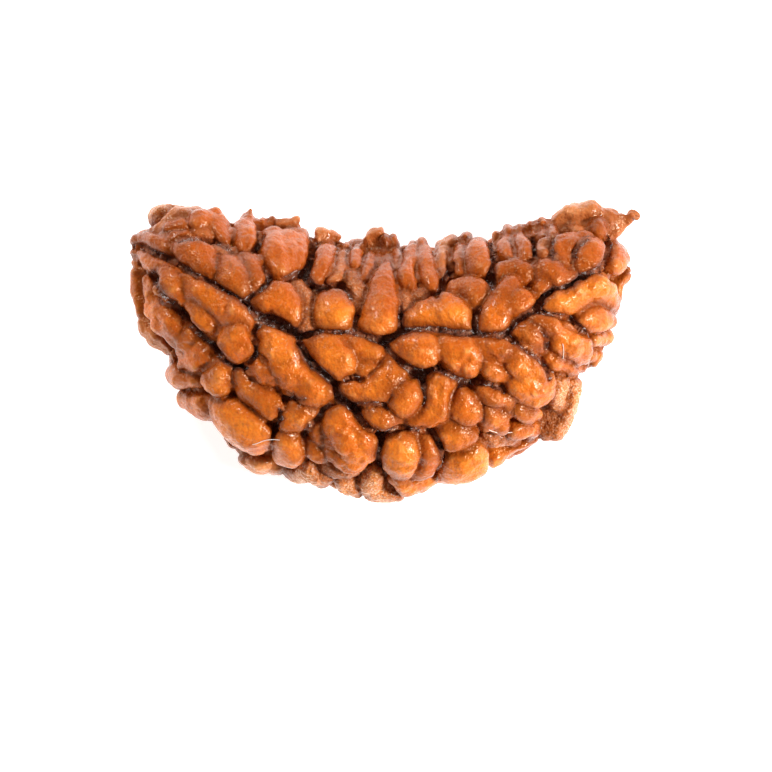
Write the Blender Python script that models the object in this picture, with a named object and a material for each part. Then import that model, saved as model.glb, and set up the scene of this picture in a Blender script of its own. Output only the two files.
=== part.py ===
"""A half-moon rudraksha bead, lying on its broad back.

The bead is one natural seed stone. A plain core carries it, and grown lobes stand all over
the core. The lobes of the face are placed by hand, with dark channels between them. Those of
the back and the rim grow by a rule. Lengths are in millimetres until the finished mesh is
brought to metres. The face looks along +Z, and the hollow edge of the half-moon along +Y.
"""

import bmesh
import bpy
import numpy as np
from mathutils import Vector

MM = 0.001

# the core, seen from the face: a round belly below and a shallow hollow above
BELLY_RADIUS = 14.05
BELLY_CENTRE = (-0.05, 6.2)
HOLLOW_RADIUS = 33.8
HOLLOW_CENTRE = (0.5, 39.42)
HORN_BLEND = 3.0
# where the belly's edge stays inside its circle: direction in degrees, width and depth
BELLY_TRIMS = (
    (-14, 22, 0.4), (-32, 4, 0.8), (-60, 11, 0.4), (-77, 6, 0.4), (-100, 4, -0.25), (-120, 7, 0.3),
    (-152, 3.5, 0.75))

# the core, seen from the side: its full depth, and how far in from the edge that is reached
EDGE_WIDTH = 6.6
FACE_DEPTH = 4.8
BACK_DEPTH = 4.3
FACE_FULLNESS = 2.1
BACK_FULLNESS = 2.5
THINNEST_EDGE = 1e-3

# how the lobes stand on the core
ROOT = 1.5
LOBE_RISE = 0.25
LOBE_RISE_PER_RADIUS = 0.35
DRY_SINK = 0.2
DOME_FLATNESS = 0.45
SLOPE_STRETCH = 0.5

# how the lobes swell until they nearly meet
FACE_GROWTH = 0.42
RIM_GROWTH = 0.0
GROWN_GROWTH = 0.26
GROOVE_WIDTH = 0.16
CREASE_WIDTH = 0.05
CREASE_DEPTH = 0.22
SHOULDER_BLEND = 0.35
CREASE_BLEND = 0.12
FLOOR_BLEND = 0.4
FACE_WARP = 0.14
BACK_WARP = 0.4
WARP_SIZE = 2.2
WARP_SEEDS = (1, 2, 3)
BACK_WARP_DEPTH = 3.0
GROOVE_WAVE = {"share": 0.6, "size": 1.7, "seed": 6}
SURFACE_WAVES = ((0.05, 0.9, 4), (0.03, 0.45, 5))

# the seats of the lobes that grow by a rule
GROWN_SEED = 11
SEAT_TRIES = 26000
SEAT_SPACING = (1.2, 1.85)
SEAT_TOP = 0.6
SEAT_ROOM = 0.62
SEAT_PROBE = 0.45
SPACING_WAVE = {"size": 3.5, "seed": 21}
SPACING_WAVE_ENDS = (-0.6, 0.6)
CHAIN_REACH = 2.4
CHAIN_TURN = 0.5
CHAIN_CHOICES = 5
LONGEST_CHAIN = 5
NO_NEIGHBOUR = 99.0
GROWN_RADIUS = (0.3, 0.98)
GROWN_RIM_RADIUS = 0.42
GROWN_RIM_SINK = 0.18
RIM_LEVELS = (-2.5, 0.5)

# the mesh
BALL_SUBDIVISIONS = 7
BALL_CENTRE = (0.2, -0.8, 0.0)
START_HEIGHT = 2.6
CULL_MARGIN = 0.9
FAR = 3.0
LONGEST_RAY = 22.0
HIGHEST_CENTRE = 9.0
HALVINGS = 30
CHANNEL_MARGIN = 1.0
CORE_STEP = 0.01
SETTLE_STEP = 0.02
LEAST_SLOPE = 0.2
LONGEST_MOVE = 0.15
DRAW_ROUNDS = 12
DRAW_MOVES = (-0.3, 0.5)
DRAW_LOWEST = -0.4
NOISE_CELLS = 32
NOISE_START = 1000.0
NO_DIVISION_BY_ZERO = 1e-9
VOXEL = 0.28
TRIANGLES = 11400
SEAT_CUT = 0.3
SEAT_SNAP = 0.06
CUT_TOLERANCE = 1e-4

BEAD_COLOUR = (0.43, 0.14, 0.03, 1.0)
BEAD_ROUGHNESS = 0.4

# lobes of the face: character, then the spheres of a chain as x, y and radius;
# rows that share a first word are one lobe
FACE_LOBES = {
    # upper left horn
    "horn_left.rim": ("pale", [
        (-14.3, 6.85, 0.38), (-13.3, 7.25, 0.5), (-12.25, 7.9, 0.6), (-11.2, 7.95, 0.62)]),
    "horn_left.knob": ("lumpy", [(-12.85, 7.35, 0.5), (-12.25, 7.5, 0.48)]),
    "horn_left.top": ("lumpy", [
        (-11.1, 7.75, 0.62), (-10.3, 7.7, 0.68), (-9.9, 7.3, 0.62), (-9.6, 6.8, 0.45)]),
    "horn_left.low": ("pale", [(-11.1, 7.05, 0.45), (-10.4, 6.85, 0.42)]),
    "upper_lip.edge": ("smooth", [
        (-14.75, 6.75, 0.25), (-14.3, 6.75, 0.42), (-13.6, 6.55, 0.5), (-13, 6.25, 0.5),
        (-12.75, 6.05, 0.36)]),
    "upper_lip.knob": ("lumpy", [(-13.2, 6.95, 0.36), (-12.6, 6.75, 0.45), (-12.1, 6.8, 0.36)]),
    # above the seam, left
    "seam_left_1": ("lumpy", [
        (-11.9, 6.05, 0.5), (-11.3, 5.75, 0.72), (-10.7, 5.2, 0.68), (-10.3, 4.7, 0.55)]),
    "seam_left_2": ("smooth", [(-9.3, 5, 0.6), (-9, 4.4, 0.78), (-8.6, 3.8, 0.68)]),
    "seam_left_3": ("lumpy", [
        (-8.1, 5.5, 0.5), (-7.9, 4.9, 0.62), (-7.7, 4.3, 0.62), (-7.95, 3.75, 0.45)]),
    "low_lump_left": ("dry", [(-9.85, 6, 0.38), (-9.25, 5.85, 0.36)]),
    "block.front": ("lumpy", [
        (-8.1, 8, 0.45), (-8.25, 7.4, 0.68), (-8.3, 6.8, 0.85), (-8.2, 6.4, 0.75)]),
    "block.spike": ("pale", [(-8.15, 8.05, 0.3), (-8, 8.45, 0.22)]),
    "block.side": ("lumpy", [(-7.3, 7.8, 0.36), (-7, 7.5, 0.4), (-6.8, 7.9, 0.3)]),
    "slab": ("smooth", [
        (-6.7, 6.6, 0.75), (-6.4, 5.7, 0.88), (-6.1, 5, 0.68), (-5.8, 5.8, 0.8),
        (-5.75, 6.7, 0.72), (-5.1, 6.75, 0.6), (-5.15, 6.1, 0.62), (-5.25, 5.4, 0.5)]),
    "slab_back": ("pale", [(-6.7, 7.85, 0.28), (-6.2, 7.6, 0.32), (-5.6, 7.65, 0.35), (-5.2, 7.9, 0.26)]),
    # the long finger below the seam, left
    "finger.lip": ("lumpy", [
        (-14.7, 6.05, 0.28), (-14.3, 5.75, 0.38), (-13.7, 5.35, 0.45), (-13.2, 5.05, 0.5),
        (-12.3, 4.55, 0.6)]),
    "finger.bulge": ("lumpy", [(-12.8, 4.4, 0.75), (-12.4, 3.8, 0.82), (-12.1, 3.5, 0.65)]),
    "finger.ridge": ("lumpy", [
        (-12, 4.3, 0.6), (-11.3, 3.9, 0.75), (-10.4, 3.2, 0.8), (-9.5, 2.5, 0.85),
        (-8.6, 1.9, 0.85), (-8.15, 1.6, 0.68)]),
    "finger.belly": ("lumpy", [
        (-11, 2.9, 0.62), (-10.6, 2.1, 0.72), (-10.2, 1.5, 0.62), (-10, 1, 0.45)]),
    "finger.end": ("lumpy", [(-8.8, 1.3, 0.8), (-8.75, 0.6, 0.95), (-8.8, 0.3, 0.75)]),
    # left flank
    "flank.ridge": ("lumpy", [
        (-14.1, 4.2, 0.32), (-13.8, 3.4, 0.42), (-13.6, 2.9, 0.52), (-13.2, 2.3, 0.66),
        (-12.7, 1.6, 0.72), (-12.2, 1, 0.66)]),
    "flank.foot": ("lumpy", [
        (-11.7, 0.6, 0.75), (-11.3, 0.1, 0.82), (-11, -0.3, 0.78), (-11.6, -0.5, 0.62)]),
    "left_edge.band": ("pale", [
        (-14.8, 5.3, 0.3), (-14.5, 4.2, 0.36), (-14.35, 3.2, 0.36), (-14.1, 2.2, 0.36),
        (-13.7, 1.3, 0.36), (-13.1, 0.7, 0.36), (-12.5, 0.2, 0.36)]),
    "left_edge.rim": ("smooth", [
        (-14.9, 4.7, 0.34), (-14.75, 3.8, 0.36), (-14.6, 3, 0.38), (-14.45, 2.3, 0.4)]),
    "left_edge.foot": ("pale", [
        (-14.25, 1.9, 0.5), (-14.05, 1.35, 0.58), (-13.5, 0.75, 0.6), (-13, 0.35, 0.52),
        (-12.8, 0.05, 0.42)]),
    "left_rim_1": ("lumpy", [(-12.35, -1.2, 0.6), (-11.7, -1.6, 0.6), (-11.1, -1.8, 0.42)]),
    "left_rim_2": ("smooth", [
        (-11.7, -2.75, 0.62), (-11, -3.05, 0.65), (-10.55, -3.45, 0.62), (-10.3, -3, 0.4)]),
    "lower_left_1": ("lumpy", [
        (-9.75, -1.1, 0.55), (-9.8, -1.6, 0.76), (-9.7, -1.8, 0.7), (-10.1, -1.8, 0.5)]),
    "lower_left_2": ("lumpy", [
        (-8.35, -1.8, 0.45), (-7.8, -2.3, 0.52), (-7.1, -2.7, 0.58), (-6.6, -3.1, 0.62)]),
    "lower_left_big": ("smooth", [
        (-9.8, -3.2, 0.62), (-9.2, -3.7, 0.9), (-8.6, -4.2, 1.08), (-7.9, -4.7, 1.12),
        (-7.6, -4.9, 1)]),
    "lower_left_hem.band": ("pale", [
        (-10, -3.9, 0.3), (-9.6, -4.75, 0.38), (-8.9, -5.3, 0.4), (-8.2, -5.75, 0.42),
        (-7.4, -5.65, 0.42), (-6.9, -5.5, 0.3)]),
    "lower_left_hem.knob": ("smooth", [(-9.5, -5, 0.32), (-9.15, -5.35, 0.34), (-8.8, -5.55, 0.3)]),
    "lower_left_rim_2": ("pale", [
        (-8.1, -6.35, 0.42), (-7.5, -6.6, 0.58), (-6.8, -6.6, 0.6), (-6.2, -6.8, 0.55)]),
    "lower_left_3": ("smooth", [
        (-5.6, -5, 0.6), (-5.65, -5.5, 0.82), (-5.6, -5.8, 0.8), (-5.95, -5.95, 0.6)]),
    "lower_left_4": ("lumpy", [
        (-5.3, -3.4, 0.5), (-5.2, -3.95, 0.68), (-4.7, -3.7, 0.62), (-4.3, -3.4, 0.4),
        (-5.6, -4, 0.5)]),
    # middle left
    "mid_left.back": ("lumpy", [
        (-6.7, 0.7, 0.62), (-6.3, 0.3, 0.82), (-5.9, -0.4, 0.92), (-5.6, -1.2, 0.88),
        (-4.9, -1.6, 0.7), (-4.3, -2.1, 0.78), (-3.9, -2.3, 0.78)]),
    "mid_left.arm": ("lumpy", [(-7.4, -0.9, 0.55), (-6.9, -1.1, 0.66), (-6.3, -1.2, 0.7)]),
    "mid_left.foot": ("lumpy", [(-5.6, -1.9, 0.52), (-5.1, -2, 0.52)]),
    "mid_head.nose": ("smooth", [
        (-4.4, 0.45, 0.38), (-3.8, 0.4, 0.6), (-3.1, 0.3, 0.8), (-2.8, -0.4, 0.92),
        (-2.55, -0.65, 0.75)]),
    "mid_head.arm": ("lumpy", [
        (-2.2, 0.45, 0.62), (-1.5, 0.3, 0.6), (-0.9, -0.05, 0.6), (-0.55, -0.35, 0.48)]),
    "mid_head.hook": ("lumpy", [
        (-1.95, -2.1, 0.4), (-1.3, -2.3, 0.56), (-0.6, -2.2, 0.72), (0.1, -1.8, 0.78),
        (0.6, -1.4, 0.76), (0.4, -0.8, 0.52)]),
    "mid_head.fill": ("lumpy", [(-1.1, -1.35, 0.38), (-0.9, -0.95, 0.48), (-0.5, -0.8, 0.42)]),
    "mid_ball": ("smooth", [(1.3, -2.6, 0.86), (1.2, -2.9, 0.8)]),
    "mid_low.left": ("smooth", [
        (-0.6, -3.6, 0.45), (0, -3.85, 0.6), (0.6, -4, 0.42), (1.1, -3.9, 0.3)]),
    "mid_low.curl": ("lumpy", [
        (1.7, -3.95, 0.48), (2.3, -3.9, 0.6), (2.9, -3.6, 0.66), (3.1, -3, 0.62), (3.2, -2.4, 0.62),
        (3.4, -1.9, 0.6)]),
    # the long lobe right of the middle
    "long.left": ("smooth", [(0.7, 0.25, 0.38), (1.3, 0.2, 0.74), (2, 0.15, 0.95), (2.45, 0.1, 0.86)]),
    "long.bump": ("lumpy", [(1.9, 0.9, 0.38), (2.9, 0.85, 0.42), (3.4, 0.8, 0.42)]),
    "long.middle": ("lumpy", [(3.75, 0.2, 0.8), (4.5, 0, 0.95), (4.95, -0.5, 0.8), (4.2, -0.4, 0.7)]),
    "long.back": ("lumpy", [(5.2, 0.4, 0.5), (6.15, 0.15, 0.62), (6.9, -0.05, 0.76)]),
    "long.curl": ("lumpy", [(6.4, -0.95, 0.66), (6.6, -1.2, 0.58), (7.1, -0.8, 0.5)]),
    "long.right": ("lumpy", [
        (7.6, -0.4, 0.75), (8.3, -0.9, 0.8), (8.8, -1.6, 0.75), (9.2, -2.2, 0.76),
        (8.6, -2.4, 0.62), (7.85, -1.9, 0.6), (7.35, -1.9, 0.4)]),
    # above the seam, middle and right
    "tooth_1": ("smooth", [
        (-7.2, 2.85, 0.4), (-6.6, 3.1, 0.66), (-6.1, 3.2, 0.76), (-5.75, 2.6, 0.7),
        (-5.55, 2.2, 0.55)]),
    "tooth_gap": ("dry", [
        (-5.1, 3.7, 0.42), (-4.75, 3.2, 0.48), (-4.6, 2.5, 0.44), (-4.55, 1.8, 0.42),
        (-4.55, 1.5, 0.36)]),
    "tooth_2": ("smooth", [
        (-3.05, 3, 0.62), (-3, 2.4, 0.86), (-2.95, 2, 0.86), (-3.3, 1.9, 0.6), (-2.6, 1.8, 0.6)]),
    "tooth_dry": ("dry", [
        (-1.9, 4.4, 0.34), (-1.7, 3.8, 0.38), (-1.55, 3.1, 0.42), (-1.65, 2.6, 0.34),
        (-1.75, 2.25, 0.22)]),
    "pin.body": ("smooth", [
        (0.1, 5.2, 0.24), (0, 4.6, 0.44), (-0.1, 3.9, 0.6), (-0.1, 3.2, 0.72), (-0.15, 2.5, 0.8),
        (-0.3, 1.8, 0.85), (-0.35, 1.6, 0.85), (-0.85, 1.6, 0.55)]),
    "tooth_rough.left": ("dry", [(1.3, 3.2, 0.44), (1.35, 2.7, 0.42), (1.2, 2.4, 0.25)]),
    "tooth_rough.right": ("dry", [(1.9, 3.25, 0.4), (2.3, 3.4, 0.3)]),
    "tooth_3": ("smooth", [
        (1.7, 1.75, 0.4), (2.4, 2.15, 0.66), (3, 2.2, 0.72), (3.6, 2.35, 0.88), (4.3, 2.05, 0.78),
        (4.7, 1.8, 0.52)]),
    "tooth_4": ("smooth", [
        (4.35, 3.7, 0.38), (5.1, 3.75, 0.58), (5.45, 3.3, 0.6), (5.6, 2.9, 0.45), (6, 3.3, 0.4)]),
    "peanut.body": ("smooth", [
        (7.45, 3.8, 0.56), (7.2, 3.2, 0.7), (6.8, 2.5, 0.8), (6.4, 2, 0.8), (6.2, 1.75, 0.6)]),
    "peanut.side": ("smooth", [(7.7, 2.9, 0.74), (8.2, 2.9, 0.66)]),
    # the ridges of the hollow edge
    "ridge_back_1": ("pale", [(-3.8, 7.05, 0.36), (-3.3, 7.1, 0.36), (-2.9, 7, 0.26)]),
    "ridge_1": ("smooth", [
        (-3.1, 6.6, 0.3), (-3.35, 6, 0.42), (-3.6, 5.3, 0.45), (-3.9, 4.75, 0.38),
        (-4.05, 4.5, 0.26)]),
    "ridge_2": ("pale", [(-2.45, 6.3, 0.32), (-2.5, 5.6, 0.36), (-2.6, 4.9, 0.36), (-2.9, 4.3, 0.35)]),
    "ridge_3": ("smooth", [(-1.6, 6.3, 0.38), (-1.65, 5.8, 0.38), (-1.75, 5.2, 0.32)]),
    "ridge_4": ("smooth", [
        (-0.75, 6, 0.24), (-0.85, 5.4, 0.27), (-1.05, 4.8, 0.25), (-1.3, 4.3, 0.22)]),
    "ridge_5": ("smooth", [(-0.3, 6.75, 0.28), (-0.35, 5.9, 0.26), (-0.35, 5.3, 0.2)]),
    "ridge_crest": ("pale", [
        (-1.3, 6.75, 0.25), (-0.8, 7.15, 0.28), (-0.35, 7.2, 0.28), (-0.2, 7.4, 0.18)]),
    "pin.top": ("smooth", [(0.12, 5.4, 0.2), (0.15, 6, 0.24), (0.15, 6.85, 0.28)]),
    "ridge_6": ("smooth", [(0.42, 6.9, 0.3), (0.62, 6.2, 0.33), (0.72, 5.6, 0.3), (0.82, 5, 0.25)]),
    "ridge_7.left": ("lumpy", [
        (1.9, 6.35, 0.36), (1.6, 5.6, 0.42), (1.4, 5, 0.46), (1.3, 4.4, 0.46), (1.5, 3.95, 0.38)]),
    "ridge_7.right": ("smooth", [
        (2.2, 6.45, 0.32), (2.45, 5.8, 0.36), (2.5, 5.3, 0.4), (2.7, 4.6, 0.4), (2.9, 4, 0.38)]),
    "ridge_7.middle": ("pale", [(2, 5, 0.4), (2.1, 4.4, 0.3)]),
    "ridge_8": ("pale", [
        (4.3, 6.65, 0.42), (3.75, 6.3, 0.44), (3.5, 5.5, 0.46), (3.4, 5, 0.36), (3.5, 4.5, 0.3)]),
    "ridge_9": ("smooth", [(4.85, 6.85, 0.38), (4.65, 6, 0.38), (4.5, 5.3, 0.36), (4.6, 4.8, 0.3)]),
    "ridge_10": ("smooth", [(5.6, 6.35, 0.5), (5.6, 5.7, 0.66), (5.6, 5.2, 0.62), (5.4, 4.9, 0.5)]),
    "ridge_11": ("pale", [(6.75, 7.05, 0.38), (6.65, 6.1, 0.22)]),
    "ridge_12": ("smooth", [(7.45, 7.25, 0.38), (7.35, 6.4, 0.42), (7.4, 5.8, 0.43), (7.5, 5.4, 0.32)]),
    "ridge_13": ("smooth", [(8.1, 7.3, 0.34), (8.2, 6.5, 0.38), (8.35, 6, 0.45), (8.3, 5.6, 0.43)]),
    "ridge_14": ("lumpy", [(8.75, 7.6, 0.34), (9, 6.9, 0.3)]),
    "ridge_15": ("lumpy", [(9.4, 7.75, 0.38), (9.5, 7.15, 0.33), (9.5, 6.8, 0.25)]),
    "ridge_drop": ("pale", [(9.65, 6.4, 0.25), (9.6, 6, 0.4), (9.55, 5.7, 0.43)]),
    "arch": ("lumpy", [
        (6.85, 4.5, 0.36), (7.4, 4.85, 0.38), (8, 4.95, 0.4), (8.5, 4.75, 0.4), (8.35, 4.45, 0.3)]),
    "wedge.body": ("smooth", [(9.4, 4.7, 0.52), (10, 4.6, 0.62), (10.6, 4.5, 0.46), (11.05, 4.4, 0.3)]),
    "wedge.foot": ("smooth", [(9.4, 4.1, 0.5), (9.35, 3.6, 0.38)]),
    "curl_arm": ("lumpy", [
        (10.6, 5.4, 0.42), (10.65, 6, 0.5), (11.1, 6.5, 0.46), (11.7, 6.75, 0.36),
        (12.3, 6.78, 0.3)]),
    "curl": ("smooth", [(12.5, 6.25, 0.56), (12.3, 5.8, 0.76), (12, 5.3, 0.65), (12.7, 5.9, 0.55)]),
    "right_knob": ("smooth", [
        (14, 6.05, 0.46), (14.1, 5.6, 0.62), (13.85, 5.3, 0.6), (13.5, 5.1, 0.35)]),
    # right horn
    "horn_right.crest": ("pale", [
        (10.3, 7.9, 0.42), (11, 8.3, 0.52), (11.7, 8.3, 0.56), (12.3, 8.4, 0.62),
        (13, 8.05, 0.55), (13.7, 7.85, 0.46), (14.2, 8, 0.42)]),
    "horn_right.band": ("pale", [
        (10.4, 7.25, 0.4), (10.9, 7.5, 0.42), (11.5, 7.45, 0.42), (12, 7.4, 0.32)]),
    "horn_right_lump": ("smooth", [(12.75, 7.75, 0.56), (12.85, 7.35, 0.45)]),
    "horn_right_post": ("smooth", [(10.15, 7.3, 0.32), (10.25, 6.9, 0.3), (10.3, 6.6, 0.2)]),
    "horn_right.point": ("pale", [(14.3, 8, 0.38), (14.8, 8.15, 0.3), (15.15, 8.15, 0.26)]),
    "horn_right.strand": ("pale", [
        (14.75, 7.8, 0.22), (14.3, 7.4, 0.3), (13.8, 7.1, 0.32), (13.5, 6.8, 0.22)]),
    "horn_right.root": ("pale", [(13.8, 7.6, 0.32), (13.4, 7.4, 0.25)]),
    # right side
    "fist_arm.body": ("lumpy", [
        (9.9, 2.75, 0.42), (10.5, 2.95, 0.6), (11.1, 3, 0.66), (11.8, 3.5, 0.6), (12.4, 3.8, 0.72),
        (13, 3.7, 0.7), (13.35, 3.1, 0.6), (13.5, 2.5, 0.52)]),
    "fist_arm.knob": ("lumpy", [(12.5, 4.1, 0.4), (12.95, 4.3, 0.4)]),
    "fist": ("smooth", [(12, 2.1, 0.6), (12.6, 2.1, 0.76), (13.2, 2.1, 0.62)]),
    "right_rim_1": ("smooth", [
        (14.35, 4.5, 0.36), (14, 4, 0.36), (13.95, 3.3, 0.36), (13.9, 2.7, 0.32)]),
    "right_edge": ("pale", [(13.6, 4.4, 0.2), (14.1, 4.68, 0.22), (14.5, 4.85, 0.2)]),
    "hook_finger": ("smooth", [(8.1, 1.15, 0.4), (8.6, 1.1, 0.66), (9, 0.8, 0.66), (9.15, 0.5, 0.5)]),
    "hook_top.body": ("lumpy", [
        (9, 1.6, 0.5), (9.7, 1.6, 0.5), (10.2, 1.3, 0.55), (10.5, 0.8, 0.66), (11, 0.5, 0.7),
        (11.5, 0.3, 0.66), (11.7, -0.1, 0.5)]),
    "hook_top.back": ("lumpy", [(10.7, 1.7, 0.32), (11.15, 1.35, 0.32)]),
    "hook_below": ("lumpy", [
        (9.95, -0.3, 0.45), (10.4, -0.55, 0.6), (11, -0.75, 0.56), (11.5, -0.95, 0.42),
        (12, -0.6, 0.36)]),
    "right_rim_2": ("smooth", [(12.6, 0.7, 0.45), (13.1, 0.75, 0.5), (13.4, 0.95, 0.4)]),
    "right_rim_3": ("smooth", [(12.35, -0.2, 0.45), (12.75, -0.1, 0.4), (12.5, -0.6, 0.35)]),
    "cheek.inner": ("dry", [
        (10.4, -1.8, 0.5), (10.3, -2.5, 0.5), (10.4, -3.2, 0.5), (10.2, -4, 0.5),
        (9.9, -4.7, 0.5)]),
    "cheek.outer": ("dry", [
        (11.3, -1.9, 0.52), (11.3, -2.6, 0.54), (11.05, -3.4, 0.52), (10.75, -4.1, 0.5),
        (10.25, -4.75, 0.5), (9.6, -5.05, 0.46)]),
    # lower right
    "low_right_1": ("smooth", [(4.8, -3, 0.6), (4.8, -3.5, 0.7), (4.9, -3.8, 0.56), (4.4, -3.4, 0.5)]),
    "low_right_2": ("lumpy", [(6.1, -3.5, 0.45), (6.5, -3.9, 0.56), (6.8, -4.3, 0.46), (6, -4.2, 0.4)]),
    "low_right_dark": ("lumpy", [(5.9, -2.4, 0.48), (6.5, -2.7, 0.5), (7, -2.95, 0.45)]),
    "hollow_1": ("lumpy", [(7.9, -3.4, 0.42), (8.6, -3.8, 0.42)]),
    "low_right_3": ("lumpy", [
        (7.7, -4.7, 0.45), (8.2, -4.65, 0.46), (8.8, -4.7, 0.46), (8.65, -5.15, 0.45)]),
    "low_right_hem": ("dry", [
        (6.2, -5, 0.36), (6.8, -5.1, 0.44), (7.4, -5.1, 0.42), (7.9, -5.2, 0.36)]),
    "low_right_rim": ("smooth", [
        (9.15, -5.25, 0.36), (8.5, -5.5, 0.4), (7.9, -5.65, 0.38), (7.3, -5.95, 0.38),
        (6.9, -6.3, 0.42), (6.7, -6.5, 0.36)]),
    "low_right_4": ("smooth", [(3.7, -4.8, 0.46), (4.3, -5, 0.62), (4.8, -5, 0.52)]),
    "low_right_ball": ("smooth", [
        (5.4, -6, 0.66), (5.2, -6.5, 0.92), (4.6, -6.75, 0.95), (4.1, -6.9, 0.8)]),
    # the belly
    "pair_left": ("smooth", [(1.3, -5.4, 0.6), (1, -5.8, 0.86), (0.9, -6.3, 0.86), (0.9, -6.8, 0.72)]),
    "pair_right": ("smooth", [
        (2.5, -5.3, 0.46), (2.6, -5.9, 0.56), (2.6, -6.4, 0.56), (2.2, -6.8, 0.46),
        (1.7, -7.1, 0.36)]),
    "pair_hem": ("lumpy", [
        (0.9, -7.6, 0.62), (1.4, -8, 0.66), (1.9, -7.9, 0.56), (2.5, -7.6, 0.46),
        (2.75, -7.5, 0.36)]),
    "belly_rim.right": ("dry", [
        (-0.7, -7.4, 0.5), (-0.8, -7.9, 0.68), (-0.7, -8.3, 0.66), (0.2, -8.45, 0.56),
        (0.8, -8.55, 0.46)]),
    "belly_rim.left": ("dry", [(-1.6, -8.2, 0.6), (-2.3, -7.95, 0.55), (-2.6, -7.7, 0.4)]),
    "dome.body": ("lumpy", [
        (-2.7, -3.8, 0.56), (-2.6, -4.4, 0.76), (-2.2, -5, 0.82), (-1.6, -5.4, 0.78),
        (-1.5, -5.7, 0.78), (-2, -6.2, 0.72), (-2.4, -6.3, 0.6)]),
    "dome.side": ("lumpy", [(-2.95, -5.2, 0.5), (-2.85, -6, 0.48)]),
    "dome_bead_1": ("lumpy", [(-4, -4.45, 0.28), (-3.8, -4.9, 0.3), (-3.5, -5.3, 0.28)]),
    "dome_bead_2": ("smooth", [(-4.15, -5.4, 0.25), (-4.1, -5.8, 0.36), (-3.7, -6.1, 0.36)]),
    "dome_hem": ("dry", [(-3.4, -6.8, 0.32), (-2.9, -7.1, 0.38), (-2.3, -7.1, 0.38), (-1.8, -7, 0.3)]),
    "belly_left": ("dry", [
        (-5.6, -7, 0.52), (-5, -7.25, 0.62), (-4.5, -7, 0.6), (-4.2, -7.3, 0.66),
        (-3.5, -7.45, 0.55)]),
}

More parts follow.
